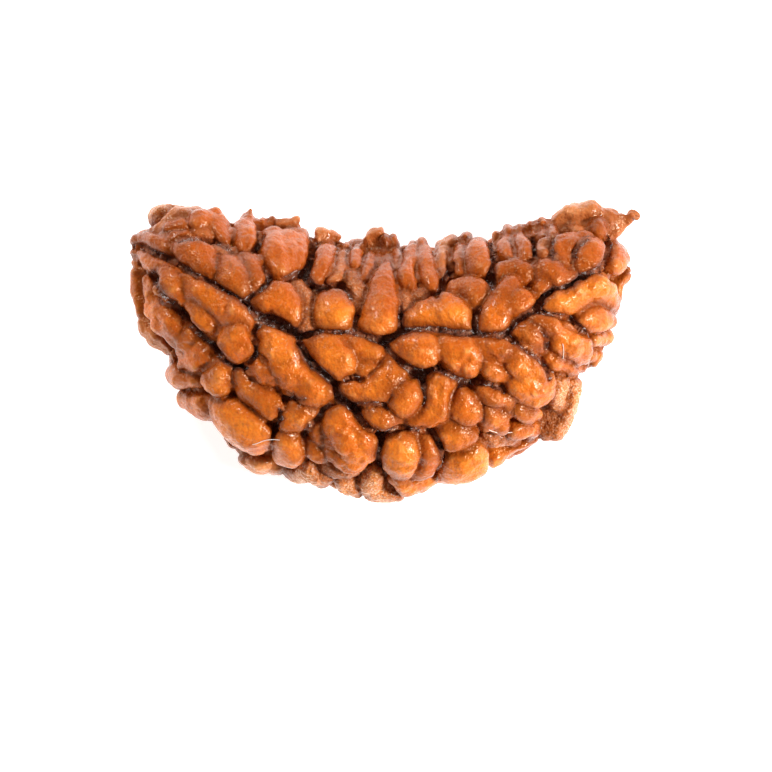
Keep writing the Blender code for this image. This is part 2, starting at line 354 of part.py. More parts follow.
# dark channels between the lobes of the face: centre line and half width
CHANNELS = {
    "seam_left": [
        (-15.2, 6.42, 0.08), (-14.4, 6.2, 0.15), (-13.5, 5.85, 0.17), (-12.6, 5.45, 0.15),
        (-11.5, 4.8, 0.15), (-10.5, 4.3, 0.15), (-9.8, 3.8, 0.15), (-9, 3.3, 0.15),
        (-8.3, 2.85, 0.2), (-7.7, 2.3, 0.22), (-7.2, 1.9, 0.27), (-6.6, 1.75, 0.3),
        (-6, 1.6, 0.26), (-5.4, 1.25, 0.24), (-5, 0.95, 0.26), (-4.3, 1.05, 0.16),
        (-3.6, 1.2, 0.12), (-2.6, 1.15, 0.1), (-1.7, 1.05, 0.12), (-1, 0.9, 0.14),
        (-0.5, 0.7, 0.2), (0, 0.65, 0.22)],
    "seam_right": [
        (0, 0.65, 0.22), (0.5, 0.8, 0.18), (1, 1.1, 0.18), (1.6, 1.3, 0.14), (2.6, 1.35, 0.14),
        (3.6, 1.25, 0.16), (4.4, 1.12, 0.17), (5.4, 1.08, 0.2), (6.3, 1, 0.17), (7.1, 1, 0.2),
        (7.5, 1.35, 0.16), (7.9, 1.8, 0.14), (8.4, 2.2, 0.15), (9, 2.4, 0.22), (9.3, 2.85, 0.2),
        (9.5, 3.3, 0.16), (10, 3.75, 0.14), (10.6, 3.9, 0.12), (11.1, 4.05, 0.18),
        (11.6, 4.45, 0.24), (12.3, 4.75, 0.16), (12.9, 5.1, 0.12), (13.2, 5.6, 0.12),
        (13.5, 6.3, 0.14), (13.4, 6.8, 0.08)],
    "belly_middle": [
        (-5, 0.5, 0.15), (-4.6, -0.4, 0.2), (-4, -0.9, 0.22), (-3.4, -1.4, 0.2),
        (-2.95, -1.9, 0.2), (-2.75, -2.5, 0.22), (-2.3, -3, 0.22), (-1.7, -3.4, 0.22),
        (-1.35, -4, 0.16), (-0.9, -4.5, 0.17), (-0.2, -4.72, 0.15), (0.7, -4.55, 0.14),
        (1.4, -4.45, 0.14), (2.2, -4.62, 0.12), (2.9, -4.75, 0.12), (3.15, -5.2, 0.13),
        (3.35, -5.7, 0.16), (3.4, -6.3, 0.14)],
    "belly_down": [(-0.05, -4.9, 0.14), (-0.3, -5.6, 0.14), (-0.5, -6.2, 0.14), (-0.25, -6.8, 0.1)],
    "belly_right": [
        (0.1, 0.35, 0.12), (0.6, -0.3, 0.12), (1.2, -0.8, 0.17), (1.8, -1.25, 0.26),
        (2.3, -1.2, 0.17), (3.1, -1.05, 0.12), (3.8, -1.35, 0.1), (4.5, -1.7, 0.12),
        (5.4, -1.8, 0.12), (6.2, -1.95, 0.1), (7, -2.35, 0.1)],
    "ball_right": [(2.1, -1.5, 0.15), (2.35, -2.1, 0.14), (2.45, -2.7, 0.1), (2.4, -3.1, 0.06)],
    "hook_inside": [(-2.3, -1.7, 0.12), (-1.7, -1.5, 0.12), (-1.3, -1.6, 0.06)],
    "hook_below": [(-2, -3.05, 0.1), (-1, -3, 0.08), (-0.1, -3.05, 0.09), (0.2, -3.35, 0.05)],
    "dome_left": [
        (-3, -3.05, 0.12), (-3.6, -3.4, 0.1), (-3.9, -3.95, 0.1), (-4.45, -4.4, 0.09),
        (-4.72, -4.8, 0.12), (-4.7, -5.4, 0.08)],
    "left_foot": [(-5.9, -2.75, 0.14), (-5.2, -2.62, 0.1), (-4.6, -2.75, 0.05)],
    "left_gap": [
        (-6.2, -3.3, 0.08), (-6, -3.9, 0.1), (-6.3, -4.4, 0.14), (-6.5, -4.9, 0.1)],
    "flank": [
        (-13.75, 4.65, 0.2), (-13.5, 4, 0.12), (-13, 3.3, 0.12), (-12.4, 2.8, 0.14),
        (-12, 2.3, 0.16), (-11.6, 1.75, 0.14), (-11.1, 1.2, 0.12), (-10.5, 0.7, 0.12),
        (-9.9, 0.2, 0.15), (-9.4, -0.6, 0.2), (-8.8, -0.9, 0.16), (-8.1, -1, 0.1)],
    "finger_tip": [
        (-7.3, 1.6, 0.16), (-7.7, 1.1, 0.13), (-7.55, 0.5, 0.13), (-7.55, -0.1, 0.12),
        (-7.9, -0.6, 0.1)],
    "upper_left": [
        (-12.2, 6.5, 0.06), (-11.2, 6.62, 0.1), (-10.2, 6.5, 0.12), (-9.6, 6.3, 0.14),
        (-9.1, 5.9, 0.08)],
    "slab_left": [(-7.15, 6.8, 0.08), (-7.4, 6.3, 0.1), (-7.8, 5.95, 0.08)],
    "slab_below": [
        (-7.15, 5, 0.1), (-6.85, 4.5, 0.14), (-6.75, 4.05, 0.12), (-7.2, 3.65, 0.1),
        (-7.8, 3.35, 0.12), (-8.2, 2.95, 0.14)],
    "slab_right": [
        (-4.05, 6.5, 0.06), (-4.2, 5.8, 0.12), (-4.4, 5.2, 0.17), (-4.65, 4.65, 0.24),
        (-5.3, 4.6, 0.14), (-5.9, 4.35, 0.1)],
    "tooth_top": [
        (-4.5, 4.35, 0.2), (-4.1, 3.85, 0.18), (-3.6, 3.75, 0.12), (-3.1, 3.9, 0.14),
        (-2.6, 3.85, 0.18), (-2.2, 3.5, 0.12), (-2, 3.1, 0.08)],
    "pin_left": [(-1.75, 2.05, 0.06), (-1.78, 1.5, 0.08), (-1.72, 1.05, 0.08)],
    "pin_right": [(0.95, 2.6, 0.1), (1, 2, 0.18), (0.95, 1.5, 0.16), (0.95, 1.15, 0.16)],
    "ridge_8_left": [(3.1, 3.3, 0.1), (3.45, 4, 0.12), (3.75, 4.7, 0.15), (4.1, 5.2, 0.12)],
    "tooth_3_right": [(5.45, 1.2, 0.18), (5.4, 1.8, 0.16), (5.5, 2.2, 0.14), (5.75, 2.6, 0.06)],
    "ridge_11_below": [
        (6.5, 6.4, 0.08), (6.45, 5.6, 0.12), (6.42, 4.9, 0.15), (6.3, 4.3, 0.22), (6.4, 3.8, 0.15)],
    "ridge_13_right": [(8.9, 6.7, 0.1), (8.95, 6, 0.14), (9, 5.4, 0.12)],
    "curl_left": [(10.2, 6.7, 0.06), (10.05, 6.1, 0.09), (10.02, 5.5, 0.07)],
    "curl_inside": [(12.1, 6.65, 0.05), (11.65, 6.3, 0.12), (11.35, 5.9, 0.13), (11.25, 5.4, 0.1)],
    "hook_inner": [(9.35, 1.2, 0.05), (9.65, 0.75, 0.1), (9.6, 0.2, 0.12)],
    "hook_right": [
        (9.2, 2.35, 0.14), (9.9, 2.22, 0.09), (10.6, 2.1, 0.09), (11.15, 1.92, 0.12),
        (11.55, 1.55, 0.15), (11.95, 1.25, 0.12)],
    "long_right": [(7.3, 0.9, 0.17), (7.8, 0.45, 0.15), (8.3, 0, 0.13), (9, -0.4, 0.13),
                   (9.6, -0.9, 0.1), (9.8, -1.6, 0.08)],
}


def smooth_min(first, second, blend):
    """Smaller of two distances, rounded where they meet."""
    near = np.clip(0.5 + 0.5 * (second - first) / blend, 0.0, 1.0)
    return second + (first - second) * near - blend * near * (1.0 - near)


def smooth_max(first, second, blend):
    """Larger of two distances, rounded where they meet."""
    return -smooth_min(-first, -second, blend)


def soft_noise(points, size, seed):
    """Smooth random values from -1 to 1 that change over the given size."""
    table = np.random.RandomState(seed).uniform(-1.0, 1.0, (NOISE_CELLS,) * 3)
    place = points / size + NOISE_START
    cell = np.floor(place).astype(int)
    part = place - cell
    part = part * part * (3.0 - 2.0 * part)
    total = np.zeros(len(points))
    for corner in np.ndindex(2, 2, 2):
        share = np.ones(len(points))
        for axis in range(3):
            share *= part[:, axis] if corner[axis] else 1.0 - part[:, axis]
        index = (cell + corner) % NOISE_CELLS
        total += share * table[index[:, 0], index[:, 1], index[:, 2]]
    return total


def core_level(points):
    """Level of the core: negative inside it, zero on it."""
    x, y, z = points.T
    turn = np.degrees(np.arctan2(y - BELLY_CENTRE[1], x - BELLY_CENTRE[0]))
    radius = np.full(len(points), BELLY_RADIUS)
    for direction, width, depth in BELLY_TRIMS:
        radius -= depth * np.exp(-(((turn - direction) / width) ** 2))
    belly = radius - np.hypot(x - BELLY_CENTRE[0], y - BELLY_CENTRE[1])
    hollow = np.hypot(x - HOLLOW_CENTRE[0], y - HOLLOW_CENTRE[1]) - HOLLOW_RADIUS
    edge = np.maximum(1.0 - smooth_min(belly, hollow, HORN_BLEND) / EDGE_WIDTH, THINNEST_EDGE)
    face = z > 0.0
    depth = np.where(face, FACE_DEPTH, BACK_DEPTH)
    power = np.where(face, FACE_FULLNESS, BACK_FULLNESS)
    return (edge ** power + (np.abs(z) / depth) ** power) ** (1.0 / power) - 1.0


def core_slope(points):
    """Gradient of the core's level."""
    slope = np.empty((len(points), 3))
    for axis in range(3):
        shift = np.zeros(3)
        shift[axis] = CORE_STEP
        slope[:, axis] = core_level(points + shift) - core_level(points - shift)
    return slope / (2.0 * CORE_STEP)


def core_distance(points):
    """Distance from the core, near enough close to it."""
    return core_level(points) / np.linalg.norm(core_slope(points), axis=1)


def core_normal(points):
    """Outward direction of the core."""
    slope = core_slope(points)
    return slope / np.linalg.norm(slope, axis=1)[:, None]


def on_core(centre, directions):
    """Points where rays from the centre leave the core."""
    near = np.zeros(len(directions))
    far = np.full(len(directions), LONGEST_RAY)
    for _ in range(HALVINGS):
        middle = (near + far) / 2.0
        inside = core_level(centre + directions * middle[:, None]) < 0.0
        near = np.where(inside, middle, near)
        far = np.where(inside, far, middle)
    return centre + directions * near[:, None]


def lifted(path, kind):
    """Centres of a face lobe's spheres, standing on the face of the core."""
    sink = DRY_SINK if kind in ("dry", "pale") else 0.0
    rise = LOBE_RISE + LOBE_RISE_PER_RADIUS * path[:, 2] - sink
    low = np.zeros(len(path))
    high = np.full(len(path), HIGHEST_CENTRE)
    for _ in range(HALVINGS):
        middle = (low + high) / 2.0
        below = core_distance(np.column_stack([path[:, :2], middle])) < rise
        low = np.where(below, middle, low)
        high = np.where(below, high, middle)
    return np.column_stack([path[:, :2], low])


def halved(path):
    """A path with one more point in the middle of each step, on a smooth curve."""
    padded = np.vstack([2.0 * path[0] - path[1], path, 2.0 * path[-1] - path[-2]])
    middles = (9.0 * (padded[1:-2] + padded[2:-1]) - padded[:-3] - padded[3:]) / 16.0
    result = np.empty((2 * len(path) - 1, path.shape[1]))
    result[0::2] = path
    result[1::2] = middles
    return result


def channel_depth(points):
    """How far points on the face are inside a channel, seen from above; negative outside."""
    total = np.full(len(points), -FAR)
    face = np.nonzero(points[:, 2] > 0.0)[0]
    flat = points[face, :2]
    inside = np.full(len(face), -FAR)
    for path in CHANNELS.values():
        path = np.array(path)
        low = path[:, :2].min(axis=0) - CHANNEL_MARGIN
        high = path[:, :2].max(axis=0) + CHANNEL_MARGIN
        near = np.nonzero(np.all((flat > low) & (flat < high), axis=1))[0]
        for start, end in zip(path[:-1], path[1:]):
            axis = (end - start)[:2]
            along = np.clip((flat[near] - start[:2]) @ axis / (axis @ axis), 0.0, 1.0)
            away = np.linalg.norm(flat[near] - start[:2] - along[:, None] * axis, axis=1)
            width = start[2] + along * (end[2] - start[2])
            inside[near] = np.maximum(inside[near], width - away)
    total[face] = inside
    return total


class Chain:
    """Spheres on the core, each joined to the next."""

    def __init__(self, kind, path, seated):
        if len(path) > 1:
            path = halved(path)
        self.radii = path[:, -1]
        self.centres = lifted(path, kind) if seated else path[:, :3]
        self.normals = core_normal(self.centres)
        upright = np.array([0.0, 0.0, 1.0])
        down = upright - self.normals[:, 2:] * self.normals
        steep = np.maximum(np.linalg.norm(down, axis=1), NO_DIVISION_BY_ZERO)
        self.downhill = down / steep[:, None]
        reach = (self.radii * (2.0 - np.abs(self.normals[:, 2])) + CULL_MARGIN)[:, None]
        self.low = (self.centres - reach).min(axis=0)
        self.high = (self.centres + reach).max(axis=0)

    def link(self, points, first, second):
        """Distance to one link: a tapered dome with straight sides down to its root."""
        start = self.centres[first]
        axis = self.centres[second] - start
        reach = max(axis @ axis, NO_DIVISION_BY_ZERO)
        along = np.clip((points - start) @ axis / reach, 0.0, 1.0)[:, None]
        offset = points - start - along * axis
        normal = self.normals[first] + along * (self.normals[second] - self.normals[first])
        normal /= np.linalg.norm(normal, axis=1)[:, None]
        downhill = self.downhill[first] + along * (self.downhill[second] - self.downhill[first])
        tilt = 1.0 - np.abs(normal[:, 2])
        slide = (offset * downhill).sum(axis=1) * tilt * SLOPE_STRETCH
        up = (offset * normal).sum(axis=1)
        change = np.where(up > 0.0, up * DOME_FLATNESS * (1.0 - tilt), np.minimum(-up, ROOT))
        offset = offset - downhill * slide[:, None] + normal * change[:, None]
        radius = self.radii[first] + along[:, 0] * (self.radii[second] - self.radii[first])
        return np.linalg.norm(offset, axis=1) - radius

    def distance(self, points):
        """Distance to the whole chain."""
        total = self.link(points, 0, min(1, len(self.centres) - 1))
        for index in range(1, len(self.centres) - 1):
            total = np.minimum(total, self.link(points, index, index + 1))
        return total


class Lobe:
    """Chains that are one lobe, with shallow creases between them."""

    def __init__(self, chains, growth):
        self.chains = chains
        self.growth = growth
        self.low = np.min([chain.low for chain in chains], axis=0)
        self.high = np.max([chain.high for chain in chains], axis=0)


class Relief:
    """The grown surface: the core with its lobes, wavy at the size of a lobe and smaller."""

    def __init__(self, lobes):
        self.lobes = lobes

    def nearest(self, points):
        """Distance to the nearest lobe, or a far value."""
        warp = np.stack([soft_noise(points, WARP_SIZE, seed) for seed in WARP_SEEDS], axis=1)
        behind = np.clip(-points[:, 2] / BACK_WARP_DEPTH, 0.0, 1.0)
        points = points + warp * (FACE_WARP + (BACK_WARP - FACE_WARP) * behind)[:, None]
        order = np.argsort(points[:, 0])
        ordered = points[order]
        best = np.full(len(points), FAR)
        second = np.full(len(points), FAR)
        crease = np.full(len(points), FAR)
        owner = np.full(len(points), -1)
        for number, lobe in enumerate(self.lobes):
            first, last = np.searchsorted(ordered[:, 0], (lobe.low[0], lobe.high[0]))
            strip = ordered[first:last]
            inside = np.all((strip > lobe.low) & (strip < lobe.high), axis=1)
            picked = np.nonzero(inside)[0] + first
            if not len(picked):
                continue
            gap = np.full(len(picked), FAR)
            other = np.full(len(picked), FAR)
            for chain in lobe.chains:
                near = chain.distance(ordered[picked])
                other = np.where(near < gap, gap, np.minimum(other, near))
                gap = np.minimum(gap, near)
            closer = gap < best[picked]
            owner[picked[closer]] = number
            crease[picked[closer]] = (other - gap)[closer]
            second[picked] = np.where(closer, best[picked], np.minimum(second[picked], gap))
            best[picked] = np.minimum(best[picked], gap)
        top = best - np.array([lobe.growth for lobe in self.lobes] + [0.0])[owner]
        wave = soft_noise(ordered, GROOVE_WAVE["size"], GROOVE_WAVE["seed"])
        width = GROOVE_WIDTH * (1.0 + GROOVE_WAVE["share"] * wave)
        groove = (width - (second - best)) / 2.0
        fold = np.minimum((CREASE_WIDTH - crease) / 2.0, top + CREASE_DEPTH)
        total = smooth_max(top, groove, SHOULDER_BLEND)
        total = smooth_max(total, fold, CREASE_BLEND)
        total = smooth_max(total, channel_depth(ordered), SHOULDER_BLEND)
        return total[np.argsort(order)]

    def distance(self, points):
        """Distance to the grown surface."""
        total = smooth_min(self.nearest(points), core_distance(points), FLOOR_BLEND)
        for height, size, seed in SURFACE_WAVES:
            total -= height * soft_noise(points, size, seed)
        return total

    def settle(self, points, rounds):
        """Move points onto the grown surface along its slope."""
        for _ in range(rounds):
            here = self.distance(points)
            slope = np.empty((len(points), 3))
            for axis in range(3):
                shift = np.zeros(3)
                shift[axis] = SETTLE_STEP
                slope[:, axis] = (self.distance(points + shift) - here) / SETTLE_STEP
            size = np.maximum((slope ** 2).sum(axis=1), LEAST_SLOPE)
            move = -slope * (here / size)[:, None]
            length = np.maximum(np.linalg.norm(move, axis=1), NO_DIVISION_BY_ZERO)
            points = points + move * np.minimum(1.0, LONGEST_MOVE / length)[:, None]
        return points


def face_lobes():
    """The lobes placed by hand."""
    groups = {}
    for name, (kind, path) in FACE_LOBES.items():
        chain = Chain(kind, np.array(path), seated=True)
        groups.setdefault(name.split(".")[0], []).append(chain)
    lobes = []
    for chains in groups.values():
        upright = np.abs(np.concatenate([chain.normals[:, 2] for chain in chains])).mean()
        lobes.append(Lobe(chains, RIM_GROWTH + (FACE_GROWTH - RIM_GROWTH) * upright))
    return lobes


def seats_on_core(placed, random):
    """Even random seats where the placed lobes leave room, and how much room each has."""
    directions = random.normal(size=(SEAT_TRIES, 3))
    directions /= np.linalg.norm(directions, axis=1)[:, None]
    spots = on_core(np.array(BALL_CENTRE), directions)
    spots = spots[spots[:, 2] < SEAT_TOP]
    room = Relief(placed).nearest(spots + SEAT_PROBE * core_normal(spots))
    wave = soft_noise(spots, **SPACING_WAVE)
    spacing = np.interp(wave, SPACING_WAVE_ENDS, SEAT_SPACING)
    seats = []
    for index in np.nonzero(room > SEAT_ROOM)[0]:
        if all(np.linalg.norm(spots[index] - spots[other]) > spacing[index] for other in seats):
            seats.append(index)
    return spots[seats], room[seats]


def gentle(path):
    """Whether a chain of points makes no sharp turn."""
    steps = np.diff(path, axis=0)
    steps /= np.linalg.norm(steps, axis=1)[:, None]
    return bool(np.all((steps[1:] * steps[:-1]).sum(axis=1) > CHAIN_TURN))


def joined_seats(seats, away, random):
    """Seats joined to near neighbours in short, gently curved chains."""
    chains = [[index] for index in range(len(seats))]
    for index in random.permutation(len(seats)):
        for other in np.argsort(away[index])[:CHAIN_CHOICES]:
            mine = next(chain for chain in chains if index in chain)
            theirs = next(chain for chain in chains if other in chain)
            if mine is theirs or away[index, other] > CHAIN_REACH:
                continue
            if len(mine) + len(theirs) > random.randint(2, LONGEST_CHAIN):
                continue
            first = mine if mine[-1] == index else mine[::-1]
            second = theirs if theirs[0] == other else theirs[::-1]
            if first[-1] != index or second[0] != other or not gentle(seats[first + second]):
                continue
            chains.remove(mine)
            chains.remove(theirs)
            chains.append(first + second)
            break
    return chains


def grown_lobes(placed):
    """The lobes of the back and the rim."""
    random = np.random.RandomState(GROWN_SEED)
    seats, room = seats_on_core(placed, random)
    away = np.linalg.norm(seats[:, None] - seats[None], axis=2)
    np.fill_diagonal(away, NO_NEIGHBOUR)
    lobes = []
    for chain in joined_seats(seats, away, random):
        others = [seat for seat in range(len(seats)) if seat not in chain]
        places = seats[chain]
        rim = np.interp(places[:, 2], RIM_LEVELS, (0.0, 1.0))
        widest = GROWN_RADIUS[1] + (GROWN_RIM_RADIUS - GROWN_RADIUS[1]) * rim
        free = np.minimum(away[np.ix_(chain, others)].min(axis=1) / 2.0, room[chain])
        radii = np.clip(free - GROWN_GROWTH, GROWN_RADIUS[0], widest)
        rise = LOBE_RISE + LOBE_RISE_PER_RADIUS * radii - GROWN_RIM_SINK * rim
        centres = places + core_normal(places) * rise[:, None]
        kind = random.choice(("smooth", "lumpy", "lumpy", "dry"))
        path = np.column_stack([centres, radii])
        lobes.append(Lobe([Chain(kind, path, seated=False)], GROWN_GROWTH))
    return lobes


def grown_mesh(relief):
    """Bead surface as a mesh: a ball drawn onto the core, then out to the lobes."""
    ball = bmesh.new()
    bmesh.ops.create_icosphere(ball, subdivisions=BALL_SUBDIVISIONS, radius=1.0)
    directions = np.array([vertex.co[:] for vertex in ball.verts])
    base = on_core(np.array(BALL_CENTRE), directions)
    normal = core_normal(base)
    height = np.full(len(base), START_HEIGHT)
    for _ in range(DRAW_ROUNDS):
        gap = relief.distance(base + normal * height[:, None])
        height = np.maximum(height - np.clip(gap, *DRAW_MOVES), DRAW_LOWEST)
    for vertex, place in zip(ball.verts, base + normal * height[:, None]):
        vertex.co = place
    mesh = bpy.data.meshes.new("bead")
    ball.to_mesh(mesh)
    ball.free()
    return mesh


def changed(mesh, kind, **settings):
    """A mesh after one modifier."""
    carrier = bpy.data.objects.new("carrier", mesh)
    bpy.context.scene.collection.objects.link(carrier)
    modifier = carrier.modifiers.new(kind.lower(), kind)
    for name, value in settings.items():
        setattr(modifier, name, value)
    graph = bpy.context.evaluated_depsgraph_get()
    result = bpy.data.meshes.new_from_object(carrier.evaluated_get(graph), depsgraph=graph)
    bpy.data.objects.remove(carrier)
    bpy.data.meshes.remove(mesh)
    return result


def settle_mesh(mesh, relief, rounds):
    """Move a mesh's vertices onto the grown surface."""
    places = np.empty(len(mesh.vertices) * 3)
    mesh.vertices.foreach_get("co", places)
    places = relief.settle(places.reshape(-1, 3), rounds)
    mesh.vertices.foreach_set("co", places.ravel())
    mesh.update()


def drop_scraps(bead):
    """Keep the largest connected body of a bmesh."""
    unseen = set(bead.verts)
    bodies = []
    while unseen:
        front = [unseen.pop()]
        body = list(front)
        while front:
            vertex = front.pop()
            for edge in vertex.link_edges:
                other = edge.other_vert(vertex)
                if other in unseen:
                    unseen.remove(other)
                    front.append(other)
                    body.append(other)
        bodies.append(body)
    bodies.sort(key=len)
    for body in bodies[:-1]:
        bmesh.ops.delete(bead, geom=body, context="VERTS")


def cut_seat(bead):
    """Cut the lowest lobes of the back at one level, which leaves the flats it rests on."""
    level = min(vertex.co.z for vertex in bead.verts) + SEAT_CUT
    for vertex in bead.verts:
        if abs(vertex.co.z - level) < SEAT_SNAP:
            vertex.co.z = level
    parts = bead.verts[:] + bead.edges[:] + bead.faces[:]
    bmesh.ops.bisect_plane(
        bead, geom=parts, dist=CUT_TOLERANCE, plane_co=(0.0, 0.0, level), plane_no=(0.0, 0.0, 1.0),
        clear_inner=True)
    rims = [edge for edge in bead.edges if edge.is_boundary]
    bmesh.ops.holes_fill(bead, edges=rims, sides=0)
    bmesh.ops.triangulate(bead, faces=[face for face in bead.faces if len(face.verts) > 3])
    loose = [vertex for vertex in bead.verts if not vertex.link_faces]
    bmesh.ops.delete(bead, geom=loose, context="VERTS")
    return level


def place_bead(bead, level):
    """Bring the bead to metres, centred over its seat."""
    low = Vector([min(vertex.co[axis] for vertex in bead.verts) for axis in range(3)])
    high = Vector([max(vertex.co[axis] for vertex in bead.verts) for axis in range(3)])
    middle = (low + high) / 2.0
    shift = Vector((-middle.x, -middle.y, -level))
    bmesh.ops.translate(bead, vec=shift, verts=bead.verts)
    bmesh.ops.scale(bead, vec=(MM, MM, MM), verts=bead.verts)


def bead_material():
    """Waxy orange-brown seed shell."""
    material = bpy.data.materials.new("seed_shell")
    material.use_nodes = True
    shader = material.node_tree.nodes["Principled BSDF"]
    shader.inputs["Base Color"].default_value = BEAD_COLOUR
    shader.inputs["Roughness"].default_value = BEAD_ROUGHNESS
    shader.inputs["Metallic"].default_value = 0.0
    return material


def build_bead():
    """The whole bead as one closed mesh object."""
    placed = face_lobes()
    relief = Relief(placed + grown_lobes(placed))
    mesh = grown_mesh(relief)
    mesh = changed(mesh, "REMESH", mode="VOXEL", voxel_size=VOXEL)
    settle_mesh(mesh, relief, rounds=2)
    mesh = changed(mesh, "TRIANGULATE")
    mesh = changed(mesh, "DECIMATE", ratio=TRIANGLES / len(mesh.polygons))
    bead = bmesh.new()
    bead.from_mesh(mesh)
    drop_scraps(bead)
    level = cut_seat(bead)
    place_bead(bead, level)
    bead.to_mesh(mesh)
    bead.free()
    mesh.shade_smooth()
    mesh.materials.clear()
    mesh.materials.append(bead_material())
    bpy.context.scene.collection.objects.link(bpy.data.objects.new("bead", mesh))


def main():
    for thing in list(bpy.data.objects):
        bpy.data.objects.remove(thing)
    build_bead()


main()
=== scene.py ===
"""Looks of a half-moon rudraksha bead, lying on its broad back.

The shell repeats the grown lobes of the solid that it stands for, with narrower grooves and
finer relief. Short fibres lie in the grooves, and a few loose hairs cling to the lobes.
Lengths are in millimetres until a finished mesh is brought to metres. The face looks along
+Z, and the hollow edge of the half-moon along +Y.
"""

import bmesh
import bpy
import numpy as np
from mathutils import Matrix, Vector
from mathutils.bvhtree import BVHTree


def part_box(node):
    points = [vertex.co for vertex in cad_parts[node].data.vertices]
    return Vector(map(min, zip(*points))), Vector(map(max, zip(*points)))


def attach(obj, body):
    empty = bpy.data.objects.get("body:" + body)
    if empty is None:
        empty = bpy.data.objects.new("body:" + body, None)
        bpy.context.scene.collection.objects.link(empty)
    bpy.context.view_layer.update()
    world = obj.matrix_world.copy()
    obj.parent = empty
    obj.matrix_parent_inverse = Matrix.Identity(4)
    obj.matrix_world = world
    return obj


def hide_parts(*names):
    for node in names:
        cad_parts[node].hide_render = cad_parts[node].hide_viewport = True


bl_info = {
    "name": "Rudraksha Bead",
    "version": (1, 0, 0),
    "blender": (4, 5, 0),
    "location": "View3D > Sidebar > Bead",
    "description": "Dresses a half-moon rudraksha bead with its shell, fibres and hairs",
    "category": "Object",
}

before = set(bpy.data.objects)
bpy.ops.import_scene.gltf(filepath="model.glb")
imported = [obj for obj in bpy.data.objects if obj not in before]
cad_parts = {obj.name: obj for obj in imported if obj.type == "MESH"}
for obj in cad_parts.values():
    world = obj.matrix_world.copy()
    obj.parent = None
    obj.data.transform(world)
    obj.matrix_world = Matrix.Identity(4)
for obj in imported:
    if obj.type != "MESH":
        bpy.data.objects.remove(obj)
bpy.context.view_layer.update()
BODY = "root"
NODE = "bead"
MM = 0.001

# the core, seen from the face: a round belly below and a shallow hollow above
BELLY_RADIUS = 14.05
BELLY_CENTRE = (-0.05, 6.2)
HOLLOW_RADIUS = 33.8
HOLLOW_CENTRE = (0.5, 39.42)
HORN_BLEND = 3.0
# where the belly's edge stays inside its circle, or outside where the depth is negative:
# direction and width in degrees, and depth
BELLY_TRIMS = (
    (-14, 22, 0.4), (-32, 4, 0.8), (-60, 11, 0.4), (-77, 6, 0.4), (-100, 4, -0.25), (-120, 7, 0.3),
    (-152, 3.5, 0.75))

# the core, seen from the side: its full depth, and how far in from the edge that is reached
EDGE_WIDTH = 6.6
FACE_DEPTH = 4.8
BACK_DEPTH = 4.3
FACE_FULLNESS = 2.1
BACK_FULLNESS = 2.5
THINNEST_EDGE = 1e-3

# a curve through points: the weights of the two near ones and of all four; the far ones weigh -1
NEAR_WEIGHT = 9.0
ALL_WEIGHTS = 16.0

# how the lobes stand on the core
ROOT = 1.5
LOBE_RISE = 0.25
LOBE_RISE_PER_RADIUS = 0.35
DRY_SINK = 0.2
DOME_FLATNESS = 0.45
SLOPE_STRETCH = 0.5

# how the lobes swell until they nearly meet
FACE_GROWTH = 0.42
RIM_GROWTH = 0.0
GROWN_GROWTH = 0.26
CREASE_WIDTH = 0.05
CREASE_DEPTH = 0.24
CREASE_SLOPE = 0.3
CREASE_BLEND = 0.2
# CREASE_PALENESS: how much less painted shade the creases inside a lobe get than the grooves between
# lobes
CREASE_PALENESS = 0.1
CORE_SINK = 0.35
GROOVE_TAPER = 0.3
GROOVE_DEPTH = 0.55
CHANNEL_SHOULDER = 0.18
FACE_WARP = 0.14
BACK_WARP = 0.4
WARP_SIZE = 2.2
WARP_SEEDS = (1, 2, 3)
BACK_WARP_DEPTH = 3.0
GROOVE_WAVE = {"share": 0.6, "size": 1.7, "seed": 6}
# waves of the surface: height, size and seed
SURFACE_WAVES = ((0.05, 0.9, 4), (0.03, 0.45, 5))

# the grooves of the solid, which seat the lobes that grow by a rule
SOLID_GROOVE = 0.16
SOLID_SHOULDER = 0.35
SOLID_FLOOR = 0.4
GROWN_SEED = 11
SEAT_TRIES = 26000
SEAT_SPACING = (1.2, 1.85)
SEAT_TOP = 0.6
SEAT_ROOM = 0.62
SEAT_PROBE = 0.45
SPACING_WAVE = {"size": 3.5, "seed": 21}
SPACING_WAVE_ENDS = (-0.6, 0.6)
CHAIN_REACH = 2.4
CHAIN_TURN = 0.5
CHAIN_CHOICES = 5
LONGEST_CHAIN = 5
NO_NEIGHBOUR = 99.0
GROWN_RADIUS = (0.3, 0.98)
GROWN_RIM_RADIUS = 0.42
GROWN_RIM_SINK = 0.18
RIM_LEVELS = (-2.5, 0.5)

# the mesh
BALL_SUBDIVISIONS = 7
BALL_CENTRE = (0.2, -0.8, 0.0)
START_HEIGHT = 2.6
CULL_MARGIN = 0.9
FAR = 3.0
LONGEST_RAY = 22.0
HIGHEST_CENTRE = 9.0
HALVINGS = 30
CHANNEL_MARGIN = 1.0
CORE_STEP = 0.01
SETTLE_STEP = 0.02
LEAST_SLOPE = 0.2
LONGEST_MOVE = 0.15
DRAW_ROUNDS = 12
DRAW_MOVES = (-0.3, 0.5)
DRAW_LOWEST = -0.4
NOISE_CELLS = 32
NOISE_START = 1000.0
NO_DIVISION_BY_ZERO = 1e-9
VOXEL = 0.115
SEAT_SNAP = 0.02
CUT_TOLERANCE = 1e-5

# the finer relief of the shell: ridges bent by a warp, then grain as height, size and seed
FOLD_WARP_SIZE = 1.3
FOLD_WARP_SEEDS = (36, 37, 38)
FOLDS = (
    {"bend": 0.35, "size": 1.25, "seed": 31, "height": 0.13, "lumpy_height": 0.15},
    {"bend": 0.2, "size": 0.6, "seed": 32, "height": 0.07, "lumpy_height": 0.06},
)
FOLD_MIDDLE = 0.3
GRAINS = ((0.05, 0.38, 34), (0.035, 0.2, 35))
ROUGH_FOOT = (0.1, 0.6)

